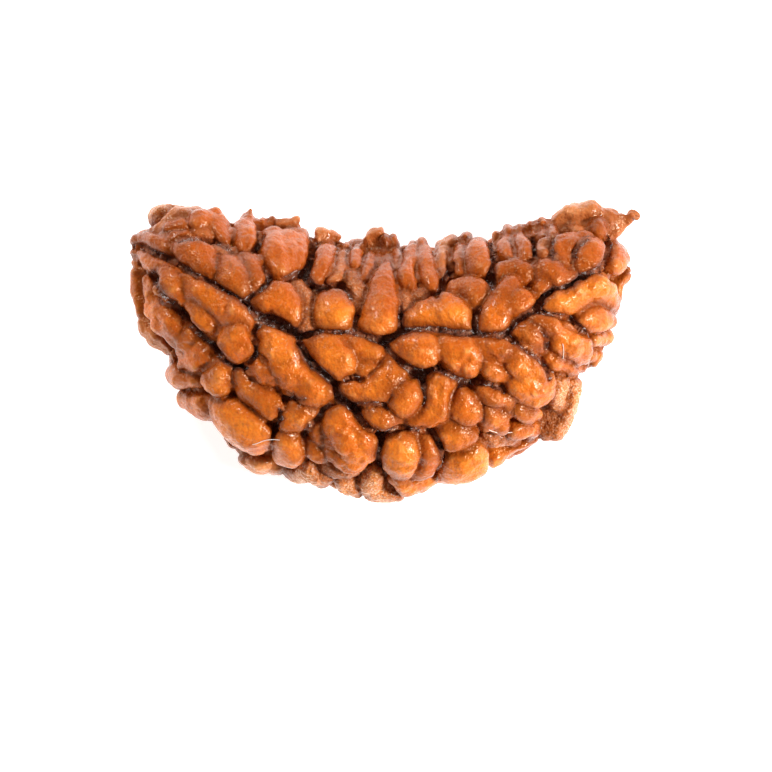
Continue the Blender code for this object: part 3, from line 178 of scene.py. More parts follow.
# what the surface is like at each vertex, and how often each value is evened out
EVENING_ROUNDS = {"dry": 6, "pale": 6, "lumpy": 6, "tint": 3, "channel": 2, "gap": 1, "height": 0}
# the broad wide_hollow sets painted shade in the shell's colour
HOLLOW_ROUNDS = {"hollow": 5, "wide_hollow": 60}
CHANNEL_EDGE = (-0.1, 0.1)
GAP_ENDS = (-0.3, 1.0)

# fibres and hairs; a hair's route is measured from the middle of the view, and its third number
# is the lift off the shell
FIBRE_LEAN = (-0.1, 0.7)
FIBRE_LIFT = 0.1
FIBRE_CHANNEL = 0.4
FIBRE_LOWEST = 4.0
FIBRE_FORWARD = 0.3
FIBRE_SIDES = 3
FIBRE_TIP = 0.3
FIBRE_LENGTHS = (0.5, 1.0)
FIBRE_RADII = (0.6, 1.0)
HAIR_LEVEL = 5.0
HAIR_ORDER = 3
HAIR_STEPS = 6
HAIRS = (
    ((12, 3.1, 0.05), (12.2, 2.4, 0.15), (12.25, 1.7, 0.1), (12.05, 1.05, 0.05)),
    ((10.45, 2.5, 0.05), (10.55, 2.1, 0.2), (10.5, 1.6, 0.05)),
    ((-9.1, -3.4, 0.1), (-8, -3.6, 0.15), (-7, -3.1, 0.15), (-6.3, -3.2, 0.05)),
    ((0.6, 9.6, 0.05), (1.1, 9.75, 0.2), (1.7, 9.5, 0.05)),
    ((6.1, -2.6, 0.05), (6.7, -2.9, 0.15), (7.5, -2.75, 0.05)),
)

# seeds of the random draws of tints and fibres
TINT_SEED = 5
FIBRE_SEED = 7

# soft patches in the materials
MOTTLES = {
    "patches": {"size": 1.9, "low": 0.35, "high": 0.65},
    "flecks": {"size": 0.32, "detail": 2.0, "low": 0.3, "high": 0.7},
    "stains": {"size": 0.9, "detail": 3.0, "low": 0.5, "high": 0.64},
    "grain": {"size": 0.13, "detail": 2.0, "low": 0.5, "high": 0.62},
    "pores": {"size": 0.3, "detail": 2.0, "low": 0.2, "high": 0.8},
    "fibre": {"size": 0.3, "low": 0.52, "high": 0.57},
    "hair": {"size": 1.2, "low": 0.35, "high": 0.65},
    "paper": {"size": 9.0, "low": 0.3, "high": 0.7},
}
FRECKLES = {"size": 0.42, "radius": 0.14}

# masks of the shell: the value that each reads, where the mask is 0 and where it is 1; crest marks
# painted highlight, and dip, side, foot, cleft and floor mark painted shade
MASKS = {
    "crest": ("hollow", -0.03, -0.075),
    "pit": ("hollow", 0.01, 0.08),
    "dip": ("wide_hollow", 0.0, 0.35),
    "side": ("gap", 0.55, 0.05),
    "foot": ("gap", 0.3, 0.0),
    "cleft": ("gap", 0.06, 0.0),
    "floor": ("height", 0.5, 0.1),
    "deep": ("height", 1.3, 0.9),
}
# how much lighter the painted crease shade is on pale lobes
PALE_LOBE_CREASE_SHADE = 0.7
# where the lobes along the hollow edge get painted shade, and how much of their amber it takes away
BROW_ENDS = (2.2, 3.8)
BROW_PAINTED_SHADE = -0.7
COARSE_ROUGHNESS = 0.1
FLECK_ROUGHNESS = 0.12
SMOOTH_BUMP = 0.5
COARSE_BUMP = 0.5
BUMP_DEPTH = 0.115
SCATTER_COLOURS = (1.0, 0.45, 0.2)
SCATTER_DEPTH = 0.35
WHITE = (1.0, 1.0, 1.0, 1.0)

# the mix node's sockets, by number, when it mixes colours
MIX_SHARE = 0
MIX_FIRST = 6
MIX_SECOND = 7
MIX_RESULT = 2

# the stage: each light's place and size in metres, how steep the directions are where the tent
# begins to open and is open, the sheet, and where between foot and top the outline lies
LIGHTS = {"key": ((0.2, -0.03, 0.17), 0.05), "fill": ((-0.1, 0.18, 0.15), 0.04)}
TENT_OPENING = (0.35, 0.8)
PAPER_CELLS = 24
PAPER_DROP = 0.02
SILHOUETTE_SHARE = 0.45
CLIP_DISTANCES = 10.0

# lobes of the face: character, then the spheres of a chain as x, y and radius;
# rows that share a first word are one lobe
FACE_LOBES = {
    # upper left horn
    "horn_left.rim": ("pale", [
        (-14.3, 6.85, 0.38), (-13.3, 7.25, 0.5), (-12.25, 7.9, 0.6), (-11.2, 7.95, 0.62)]),
    "horn_left.knob": ("lumpy", [(-12.85, 7.35, 0.5), (-12.25, 7.5, 0.48)]),
    "horn_left.top": ("lumpy", [
        (-11.1, 7.75, 0.62), (-10.3, 7.7, 0.68), (-9.9, 7.3, 0.62), (-9.6, 6.8, 0.45)]),
    "horn_left.low": ("pale", [(-11.1, 7.05, 0.45), (-10.4, 6.85, 0.42)]),
    "upper_lip.edge": ("smooth", [
        (-14.75, 6.75, 0.25), (-14.3, 6.75, 0.42), (-13.6, 6.55, 0.5), (-13, 6.25, 0.5),
        (-12.75, 6.05, 0.36)]),
    "upper_lip.knob": ("lumpy", [(-13.2, 6.95, 0.36), (-12.6, 6.75, 0.45), (-12.1, 6.8, 0.36)]),
    # above the seam, left
    "seam_left_1": ("lumpy", [
        (-11.9, 6.05, 0.5), (-11.3, 5.75, 0.72), (-10.7, 5.2, 0.68), (-10.3, 4.7, 0.55)]),
    "seam_left_2": ("smooth", [(-9.3, 5, 0.6), (-9, 4.4, 0.78), (-8.6, 3.8, 0.68)]),
    "seam_left_3": ("lumpy", [
        (-8.1, 5.5, 0.5), (-7.9, 4.9, 0.62), (-7.7, 4.3, 0.62), (-7.95, 3.75, 0.45)]),
    "low_lump_left": ("dry", [(-9.85, 6, 0.38), (-9.25, 5.85, 0.36)]),
    "block.front": ("lumpy", [
        (-8.1, 8, 0.45), (-8.25, 7.4, 0.68), (-8.3, 6.8, 0.85), (-8.2, 6.4, 0.75)]),
    "block.spike": ("pale", [(-8.15, 8.05, 0.3), (-8, 8.45, 0.22)]),
    "block.side": ("lumpy", [(-7.3, 7.8, 0.36), (-7, 7.5, 0.4), (-6.8, 7.9, 0.3)]),
    "slab": ("smooth", [
        (-6.7, 6.6, 0.75), (-6.4, 5.7, 0.88), (-6.1, 5, 0.68), (-5.8, 5.8, 0.8),
        (-5.75, 6.7, 0.72), (-5.1, 6.75, 0.6), (-5.15, 6.1, 0.62), (-5.25, 5.4, 0.5)]),
    "slab_back": ("pale", [(-6.7, 7.85, 0.28), (-6.2, 7.6, 0.32), (-5.6, 7.65, 0.35), (-5.2, 7.9, 0.26)]),
    # the long finger below the seam, left
    "finger.lip": ("lumpy", [
        (-14.7, 6.05, 0.28), (-14.3, 5.75, 0.38), (-13.7, 5.35, 0.45), (-13.2, 5.05, 0.5),
        (-12.3, 4.55, 0.6)]),
    "finger.bulge": ("lumpy", [(-12.8, 4.4, 0.75), (-12.4, 3.8, 0.82), (-12.1, 3.5, 0.65)]),
    "finger.ridge": ("lumpy", [
        (-12, 4.3, 0.6), (-11.3, 3.9, 0.75), (-10.4, 3.2, 0.8), (-9.5, 2.5, 0.85),
        (-8.6, 1.9, 0.85), (-8.15, 1.6, 0.68)]),
    "finger.belly": ("lumpy", [
        (-11, 2.9, 0.62), (-10.6, 2.1, 0.72), (-10.2, 1.5, 0.62), (-10, 1, 0.45)]),
    "finger.end": ("lumpy", [(-8.8, 1.3, 0.8), (-8.75, 0.6, 0.95), (-8.8, 0.3, 0.75)]),
    # left flank
    "flank.ridge": ("lumpy", [
        (-14.1, 4.2, 0.32), (-13.8, 3.4, 0.42), (-13.6, 2.9, 0.52), (-13.2, 2.3, 0.66),
        (-12.7, 1.6, 0.72), (-12.2, 1, 0.66)]),
    "flank.foot": ("lumpy", [
        (-11.7, 0.6, 0.75), (-11.3, 0.1, 0.82), (-11, -0.3, 0.78), (-11.6, -0.5, 0.62)]),
    "left_edge.band": ("pale", [
        (-14.8, 5.3, 0.3), (-14.5, 4.2, 0.36), (-14.35, 3.2, 0.36), (-14.1, 2.2, 0.36),
        (-13.7, 1.3, 0.36), (-13.1, 0.7, 0.36), (-12.5, 0.2, 0.36)]),
    "left_edge.rim": ("smooth", [
        (-14.9, 4.7, 0.34), (-14.75, 3.8, 0.36), (-14.6, 3, 0.38), (-14.45, 2.3, 0.4)]),
    "left_edge.foot": ("pale", [
        (-14.25, 1.9, 0.5), (-14.05, 1.35, 0.58), (-13.5, 0.75, 0.6), (-13, 0.35, 0.52),
        (-12.8, 0.05, 0.42)]),
    "left_rim_1": ("lumpy", [(-12.35, -1.2, 0.6), (-11.7, -1.6, 0.6), (-11.1, -1.8, 0.42)]),
    "left_rim_2": ("smooth", [
        (-11.7, -2.75, 0.62), (-11, -3.05, 0.65), (-10.55, -3.45, 0.62), (-10.3, -3, 0.4)]),
    "lower_left_1": ("lumpy", [
        (-9.75, -1.1, 0.55), (-9.8, -1.6, 0.76), (-9.7, -1.8, 0.7), (-10.1, -1.8, 0.5)]),
    "lower_left_2": ("lumpy", [
        (-8.35, -1.8, 0.45), (-7.8, -2.3, 0.52), (-7.1, -2.7, 0.58), (-6.6, -3.1, 0.62)]),
    "lower_left_big": ("smooth", [
        (-9.8, -3.2, 0.62), (-9.2, -3.7, 0.9), (-8.6, -4.2, 1.08), (-7.9, -4.7, 1.12),
        (-7.6, -4.9, 1)]),
    "lower_left_hem.band": ("pale", [
        (-10, -3.9, 0.3), (-9.6, -4.75, 0.38), (-8.9, -5.3, 0.4), (-8.2, -5.75, 0.42),
        (-7.4, -5.65, 0.42), (-6.9, -5.5, 0.3)]),
    "lower_left_hem.knob": ("smooth", [(-9.5, -5, 0.32), (-9.15, -5.35, 0.34), (-8.8, -5.55, 0.3)]),
    "lower_left_rim_2": ("pale", [
        (-8.1, -6.35, 0.42), (-7.5, -6.6, 0.58), (-6.8, -6.6, 0.6), (-6.2, -6.8, 0.55)]),
    "lower_left_3": ("smooth", [
        (-5.6, -5, 0.6), (-5.65, -5.5, 0.82), (-5.6, -5.8, 0.8), (-5.95, -5.95, 0.6)]),
    "lower_left_4": ("lumpy", [
        (-5.3, -3.4, 0.5), (-5.2, -3.95, 0.68), (-4.7, -3.7, 0.62), (-4.3, -3.4, 0.4),
        (-5.6, -4, 0.5)]),
    # middle left
    "mid_left.back": ("lumpy", [
        (-6.7, 0.7, 0.62), (-6.3, 0.3, 0.82), (-5.9, -0.4, 0.92), (-5.6, -1.2, 0.88),
        (-4.9, -1.6, 0.7), (-4.3, -2.1, 0.78), (-3.9, -2.3, 0.78)]),
    "mid_left.arm": ("lumpy", [(-7.4, -0.9, 0.55), (-6.9, -1.1, 0.66), (-6.3, -1.2, 0.7)]),
    "mid_left.foot": ("lumpy", [(-5.6, -1.9, 0.52), (-5.1, -2, 0.52)]),
    "mid_head.nose": ("smooth", [
        (-4.4, 0.45, 0.38), (-3.8, 0.4, 0.6), (-3.1, 0.3, 0.8), (-2.8, -0.4, 0.92),
        (-2.55, -0.65, 0.75)]),
    "mid_head.arm": ("lumpy", [
        (-2.2, 0.45, 0.62), (-1.5, 0.3, 0.6), (-0.9, -0.05, 0.6), (-0.55, -0.35, 0.48)]),
    "mid_head.hook": ("lumpy", [
        (-1.95, -2.1, 0.4), (-1.3, -2.3, 0.56), (-0.6, -2.2, 0.72), (0.1, -1.8, 0.78),
        (0.6, -1.4, 0.76), (0.4, -0.8, 0.52)]),
    "mid_head.fill": ("lumpy", [(-1.1, -1.35, 0.38), (-0.9, -0.95, 0.48), (-0.5, -0.8, 0.42)]),
    "mid_ball": ("smooth", [(1.3, -2.6, 0.86), (1.2, -2.9, 0.8)]),
    "mid_low.left": ("smooth", [
        (-0.6, -3.6, 0.45), (0, -3.85, 0.6), (0.6, -4, 0.42), (1.1, -3.9, 0.3)]),
    "mid_low.curl": ("lumpy", [
        (1.7, -3.95, 0.48), (2.3, -3.9, 0.6), (2.9, -3.6, 0.66), (3.1, -3, 0.62), (3.2, -2.4, 0.62),
        (3.4, -1.9, 0.6)]),
    # the long lobe right of the middle
    "long.left": ("smooth", [(0.7, 0.25, 0.38), (1.3, 0.2, 0.74), (2, 0.15, 0.95), (2.45, 0.1, 0.86)]),
    "long.bump": ("lumpy", [(1.9, 0.9, 0.38), (2.9, 0.85, 0.42), (3.4, 0.8, 0.42)]),
    "long.middle": ("lumpy", [(3.75, 0.2, 0.8), (4.5, 0, 0.95), (4.95, -0.5, 0.8), (4.2, -0.4, 0.7)]),
    "long.back": ("lumpy", [(5.2, 0.4, 0.5), (6.15, 0.15, 0.62), (6.9, -0.05, 0.76)]),
    "long.curl": ("lumpy", [(6.4, -0.95, 0.66), (6.6, -1.2, 0.58), (7.1, -0.8, 0.5)]),
    "long.right": ("lumpy", [
        (7.6, -0.4, 0.75), (8.3, -0.9, 0.8), (8.8, -1.6, 0.75), (9.2, -2.2, 0.76),
        (8.6, -2.4, 0.62), (7.85, -1.9, 0.6), (7.35, -1.9, 0.4)]),
    # above the seam, middle and right
    "tooth_1": ("smooth", [
        (-7.2, 2.85, 0.4), (-6.6, 3.1, 0.66), (-6.1, 3.2, 0.76), (-5.75, 2.6, 0.7),
        (-5.55, 2.2, 0.55)]),
    "tooth_gap": ("dry", [
        (-5.1, 3.7, 0.42), (-4.75, 3.2, 0.48), (-4.6, 2.5, 0.44), (-4.55, 1.8, 0.42),
        (-4.55, 1.5, 0.36)]),
    "tooth_2": ("smooth", [
        (-3.05, 3, 0.62), (-3, 2.4, 0.86), (-2.95, 2, 0.86), (-3.3, 1.9, 0.6), (-2.6, 1.8, 0.6)]),
    "tooth_dry": ("dry", [
        (-1.9, 4.4, 0.34), (-1.7, 3.8, 0.38), (-1.55, 3.1, 0.42), (-1.65, 2.6, 0.34),
        (-1.75, 2.25, 0.22)]),
    "pin.body": ("smooth", [
        (0.1, 5.2, 0.24), (0, 4.6, 0.44), (-0.1, 3.9, 0.6), (-0.1, 3.2, 0.72), (-0.15, 2.5, 0.8),
        (-0.3, 1.8, 0.85), (-0.35, 1.6, 0.85), (-0.85, 1.6, 0.55)]),
    "tooth_rough.left": ("dry", [(1.3, 3.2, 0.44), (1.35, 2.7, 0.42), (1.2, 2.4, 0.25)]),
    "tooth_rough.right": ("dry", [(1.9, 3.25, 0.4), (2.3, 3.4, 0.3)]),
    "tooth_3": ("smooth", [
        (1.7, 1.75, 0.4), (2.4, 2.15, 0.66), (3, 2.2, 0.72), (3.6, 2.35, 0.88), (4.3, 2.05, 0.78),
        (4.7, 1.8, 0.52)]),
    "tooth_4": ("smooth", [
        (4.35, 3.7, 0.38), (5.1, 3.75, 0.58), (5.45, 3.3, 0.6), (5.6, 2.9, 0.45), (6, 3.3, 0.4)]),
    "peanut.body": ("smooth", [
        (7.45, 3.8, 0.56), (7.2, 3.2, 0.7), (6.8, 2.5, 0.8), (6.4, 2, 0.8), (6.2, 1.75, 0.6)]),
    "peanut.side": ("smooth", [(7.7, 2.9, 0.74), (8.2, 2.9, 0.66)]),
    # the ridges of the hollow edge
    "ridge_back_1": ("pale", [(-3.8, 7.05, 0.36), (-3.3, 7.1, 0.36), (-2.9, 7, 0.26)]),
    "ridge_1": ("smooth", [
        (-3.1, 6.6, 0.3), (-3.35, 6, 0.42), (-3.6, 5.3, 0.45), (-3.9, 4.75, 0.38),
        (-4.05, 4.5, 0.26)]),
    "ridge_2": ("pale", [(-2.45, 6.3, 0.32), (-2.5, 5.6, 0.36), (-2.6, 4.9, 0.36), (-2.9, 4.3, 0.35)]),
    "ridge_3": ("smooth", [(-1.6, 6.3, 0.38), (-1.65, 5.8, 0.38), (-1.75, 5.2, 0.32)]),
    "ridge_4": ("smooth", [
        (-0.75, 6, 0.24), (-0.85, 5.4, 0.27), (-1.05, 4.8, 0.25), (-1.3, 4.3, 0.22)]),
    "ridge_5": ("smooth", [(-0.3, 6.75, 0.28), (-0.35, 5.9, 0.26), (-0.35, 5.3, 0.2)]),
    "ridge_crest": ("pale", [
        (-1.3, 6.75, 0.25), (-0.8, 7.15, 0.28), (-0.35, 7.2, 0.28), (-0.2, 7.4, 0.18)]),
    "pin.top": ("smooth", [(0.12, 5.4, 0.2), (0.15, 6, 0.24), (0.15, 6.85, 0.28)]),
    "ridge_6": ("smooth", [(0.42, 6.9, 0.3), (0.62, 6.2, 0.33), (0.72, 5.6, 0.3), (0.82, 5, 0.25)]),
    "ridge_7.left": ("lumpy", [
        (1.9, 6.35, 0.36), (1.6, 5.6, 0.42), (1.4, 5, 0.46), (1.3, 4.4, 0.46), (1.5, 3.95, 0.38)]),
    "ridge_7.right": ("smooth", [
        (2.2, 6.45, 0.32), (2.45, 5.8, 0.36), (2.5, 5.3, 0.4), (2.7, 4.6, 0.4), (2.9, 4, 0.38)]),
    "ridge_7.middle": ("pale", [(2, 5, 0.4), (2.1, 4.4, 0.3)]),
    "ridge_8": ("pale", [
        (4.3, 6.65, 0.42), (3.75, 6.3, 0.44), (3.5, 5.5, 0.46), (3.4, 5, 0.36), (3.5, 4.5, 0.3)]),
    "ridge_9": ("smooth", [(4.85, 6.85, 0.38), (4.65, 6, 0.38), (4.5, 5.3, 0.36), (4.6, 4.8, 0.3)]),
    "ridge_10": ("smooth", [(5.6, 6.35, 0.5), (5.6, 5.7, 0.66), (5.6, 5.2, 0.62), (5.4, 4.9, 0.5)]),
    "ridge_11": ("pale", [(6.75, 7.05, 0.38), (6.65, 6.1, 0.22)]),
    "ridge_12": ("smooth", [(7.45, 7.25, 0.38), (7.35, 6.4, 0.42), (7.4, 5.8, 0.43), (7.5, 5.4, 0.32)]),
    "ridge_13": ("smooth", [(8.1, 7.3, 0.34), (8.2, 6.5, 0.38), (8.35, 6, 0.45), (8.3, 5.6, 0.43)]),
    "ridge_14": ("lumpy", [(8.75, 7.6, 0.34), (9, 6.9, 0.3)]),
    "ridge_15": ("lumpy", [(9.4, 7.75, 0.38), (9.5, 7.15, 0.33), (9.5, 6.8, 0.25)]),
    "ridge_drop": ("pale", [(9.65, 6.4, 0.25), (9.6, 6, 0.4), (9.55, 5.7, 0.43)]),
    "arch": ("lumpy", [
        (6.85, 4.5, 0.36), (7.4, 4.85, 0.38), (8, 4.95, 0.4), (8.5, 4.75, 0.4), (8.35, 4.45, 0.3)]),
    "wedge.body": ("smooth", [(9.4, 4.7, 0.52), (10, 4.6, 0.62), (10.6, 4.5, 0.46), (11.05, 4.4, 0.3)]),
    "wedge.foot": ("smooth", [(9.4, 4.1, 0.5), (9.35, 3.6, 0.38)]),
    "curl_arm": ("lumpy", [
        (10.6, 5.4, 0.42), (10.65, 6, 0.5), (11.1, 6.5, 0.46), (11.7, 6.75, 0.36),
        (12.3, 6.78, 0.3)]),
    "curl": ("smooth", [(12.5, 6.25, 0.56), (12.3, 5.8, 0.76), (12, 5.3, 0.65), (12.7, 5.9, 0.55)]),
    "right_knob": ("smooth", [
        (14, 6.05, 0.46), (14.1, 5.6, 0.62), (13.85, 5.3, 0.6), (13.5, 5.1, 0.35)]),
    # right horn
    "horn_right.crest": ("pale", [
        (10.3, 7.9, 0.42), (11, 8.3, 0.52), (11.7, 8.3, 0.56), (12.3, 8.4, 0.62),
        (13, 8.05, 0.55), (13.7, 7.85, 0.46), (14.2, 8, 0.42)]),
    "horn_right.band": ("pale", [
        (10.4, 7.25, 0.4), (10.9, 7.5, 0.42), (11.5, 7.45, 0.42), (12, 7.4, 0.32)]),
    "horn_right_lump": ("smooth", [(12.75, 7.75, 0.56), (12.85, 7.35, 0.45)]),
    "horn_right_post": ("smooth", [(10.15, 7.3, 0.32), (10.25, 6.9, 0.3), (10.3, 6.6, 0.2)]),
    "horn_right.point": ("pale", [(14.3, 8, 0.38), (14.8, 8.15, 0.3), (15.15, 8.15, 0.26)]),
    "horn_right.strand": ("pale", [
        (14.75, 7.8, 0.22), (14.3, 7.4, 0.3), (13.8, 7.1, 0.32), (13.5, 6.8, 0.22)]),
    "horn_right.root": ("pale", [(13.8, 7.6, 0.32), (13.4, 7.4, 0.25)]),
    # right side
    "fist_arm.body": ("lumpy", [
        (9.9, 2.75, 0.42), (10.5, 2.95, 0.6), (11.1, 3, 0.66), (11.8, 3.5, 0.6), (12.4, 3.8, 0.72),
        (13, 3.7, 0.7), (13.35, 3.1, 0.6), (13.5, 2.5, 0.52)]),
    "fist_arm.knob": ("lumpy", [(12.5, 4.1, 0.4), (12.95, 4.3, 0.4)]),
    "fist": ("smooth", [(12, 2.1, 0.6), (12.6, 2.1, 0.76), (13.2, 2.1, 0.62)]),
    "right_rim_1": ("smooth", [
        (14.35, 4.5, 0.36), (14, 4, 0.36), (13.95, 3.3, 0.36), (13.9, 2.7, 0.32)]),
    "right_edge": ("pale", [(13.6, 4.4, 0.2), (14.1, 4.68, 0.22), (14.5, 4.85, 0.2)]),
    "hook_finger": ("smooth", [(8.1, 1.15, 0.4), (8.6, 1.1, 0.66), (9, 0.8, 0.66), (9.15, 0.5, 0.5)]),
    "hook_top.body": ("lumpy", [
        (9, 1.6, 0.5), (9.7, 1.6, 0.5), (10.2, 1.3, 0.55), (10.5, 0.8, 0.66), (11, 0.5, 0.7),
        (11.5, 0.3, 0.66), (11.7, -0.1, 0.5)]),
    "hook_top.back": ("lumpy", [(10.7, 1.7, 0.32), (11.15, 1.35, 0.32)]),
    "hook_below": ("lumpy", [
        (9.95, -0.3, 0.45), (10.4, -0.55, 0.6), (11, -0.75, 0.56), (11.5, -0.95, 0.42),
        (12, -0.6, 0.36)]),
    "right_rim_2": ("smooth", [(12.6, 0.7, 0.45), (13.1, 0.75, 0.5), (13.4, 0.95, 0.4)]),
    "right_rim_3": ("smooth", [(12.35, -0.2, 0.45), (12.75, -0.1, 0.4), (12.5, -0.6, 0.35)]),
    "cheek.inner": ("dry", [
        (10.4, -1.8, 0.5), (10.3, -2.5, 0.5), (10.4, -3.2, 0.5), (10.2, -4, 0.5),
        (9.9, -4.7, 0.5)]),
    "cheek.outer": ("dry", [
        (11.3, -1.9, 0.52), (11.3, -2.6, 0.54), (11.05, -3.4, 0.52), (10.75, -4.1, 0.5),
        (10.25, -4.75, 0.5), (9.6, -5.05, 0.46)]),
    # lower right
    "low_right_1": ("smooth", [(4.8, -3, 0.6), (4.8, -3.5, 0.7), (4.9, -3.8, 0.56), (4.4, -3.4, 0.5)]),
    "low_right_2": ("lumpy", [(6.1, -3.5, 0.45), (6.5, -3.9, 0.56), (6.8, -4.3, 0.46), (6, -4.2, 0.4)]),
    "low_right_dark": ("lumpy", [(5.9, -2.4, 0.48), (6.5, -2.7, 0.5), (7, -2.95, 0.45)]),
    "hollow_1": ("lumpy", [(7.9, -3.4, 0.42), (8.6, -3.8, 0.42)]),
    "low_right_3": ("lumpy", [
        (7.7, -4.7, 0.45), (8.2, -4.65, 0.46), (8.8, -4.7, 0.46), (8.65, -5.15, 0.45)]),
    "low_right_hem": ("dry", [
        (6.2, -5, 0.36), (6.8, -5.1, 0.44), (7.4, -5.1, 0.42), (7.9, -5.2, 0.36)]),
    "low_right_rim": ("smooth", [
        (9.15, -5.25, 0.36), (8.5, -5.5, 0.4), (7.9, -5.65, 0.38), (7.3, -5.95, 0.38),
        (6.9, -6.3, 0.42), (6.7, -6.5, 0.36)]),
    "low_right_4": ("smooth", [(3.7, -4.8, 0.46), (4.3, -5, 0.62), (4.8, -5, 0.52)]),
    "low_right_ball": ("smooth", [
        (5.4, -6, 0.66), (5.2, -6.5, 0.92), (4.6, -6.75, 0.95), (4.1, -6.9, 0.8)]),
    # the belly
    "pair_left": ("smooth", [(1.3, -5.4, 0.6), (1, -5.8, 0.86), (0.9, -6.3, 0.86), (0.9, -6.8, 0.72)]),
    "pair_right": ("smooth", [
        (2.5, -5.3, 0.46), (2.6, -5.9, 0.56), (2.6, -6.4, 0.56), (2.2, -6.8, 0.46),
        (1.7, -7.1, 0.36)]),
    "pair_hem": ("lumpy", [
        (0.9, -7.6, 0.62), (1.4, -8, 0.66), (1.9, -7.9, 0.56), (2.5, -7.6, 0.46),
        (2.75, -7.5, 0.36)]),
    "belly_rim.right": ("dry", [
        (-0.7, -7.4, 0.5), (-0.8, -7.9, 0.68), (-0.7, -8.3, 0.66), (0.2, -8.45, 0.56),
        (0.8, -8.55, 0.46)]),
    "belly_rim.left": ("dry", [(-1.6, -8.2, 0.6), (-2.3, -7.95, 0.55), (-2.6, -7.7, 0.4)]),
    "dome.body": ("lumpy", [
        (-2.7, -3.8, 0.56), (-2.6, -4.4, 0.76), (-2.2, -5, 0.82), (-1.6, -5.4, 0.78),
        (-1.5, -5.7, 0.78), (-2, -6.2, 0.72), (-2.4, -6.3, 0.6)]),
    "dome.side": ("lumpy", [(-2.95, -5.2, 0.5), (-2.85, -6, 0.48)]),
    "dome_bead_1": ("lumpy", [(-4, -4.45, 0.28), (-3.8, -4.9, 0.3), (-3.5, -5.3, 0.28)]),
    "dome_bead_2": ("smooth", [(-4.15, -5.4, 0.25), (-4.1, -5.8, 0.36), (-3.7, -6.1, 0.36)]),
    "dome_hem": ("dry", [(-3.4, -6.8, 0.32), (-2.9, -7.1, 0.38), (-2.3, -7.1, 0.38), (-1.8, -7, 0.3)]),
    "belly_left": ("dry", [
        (-5.6, -7, 0.52), (-5, -7.25, 0.62), (-4.5, -7, 0.6), (-4.2, -7.3, 0.66),
        (-3.5, -7.45, 0.55)]),
}

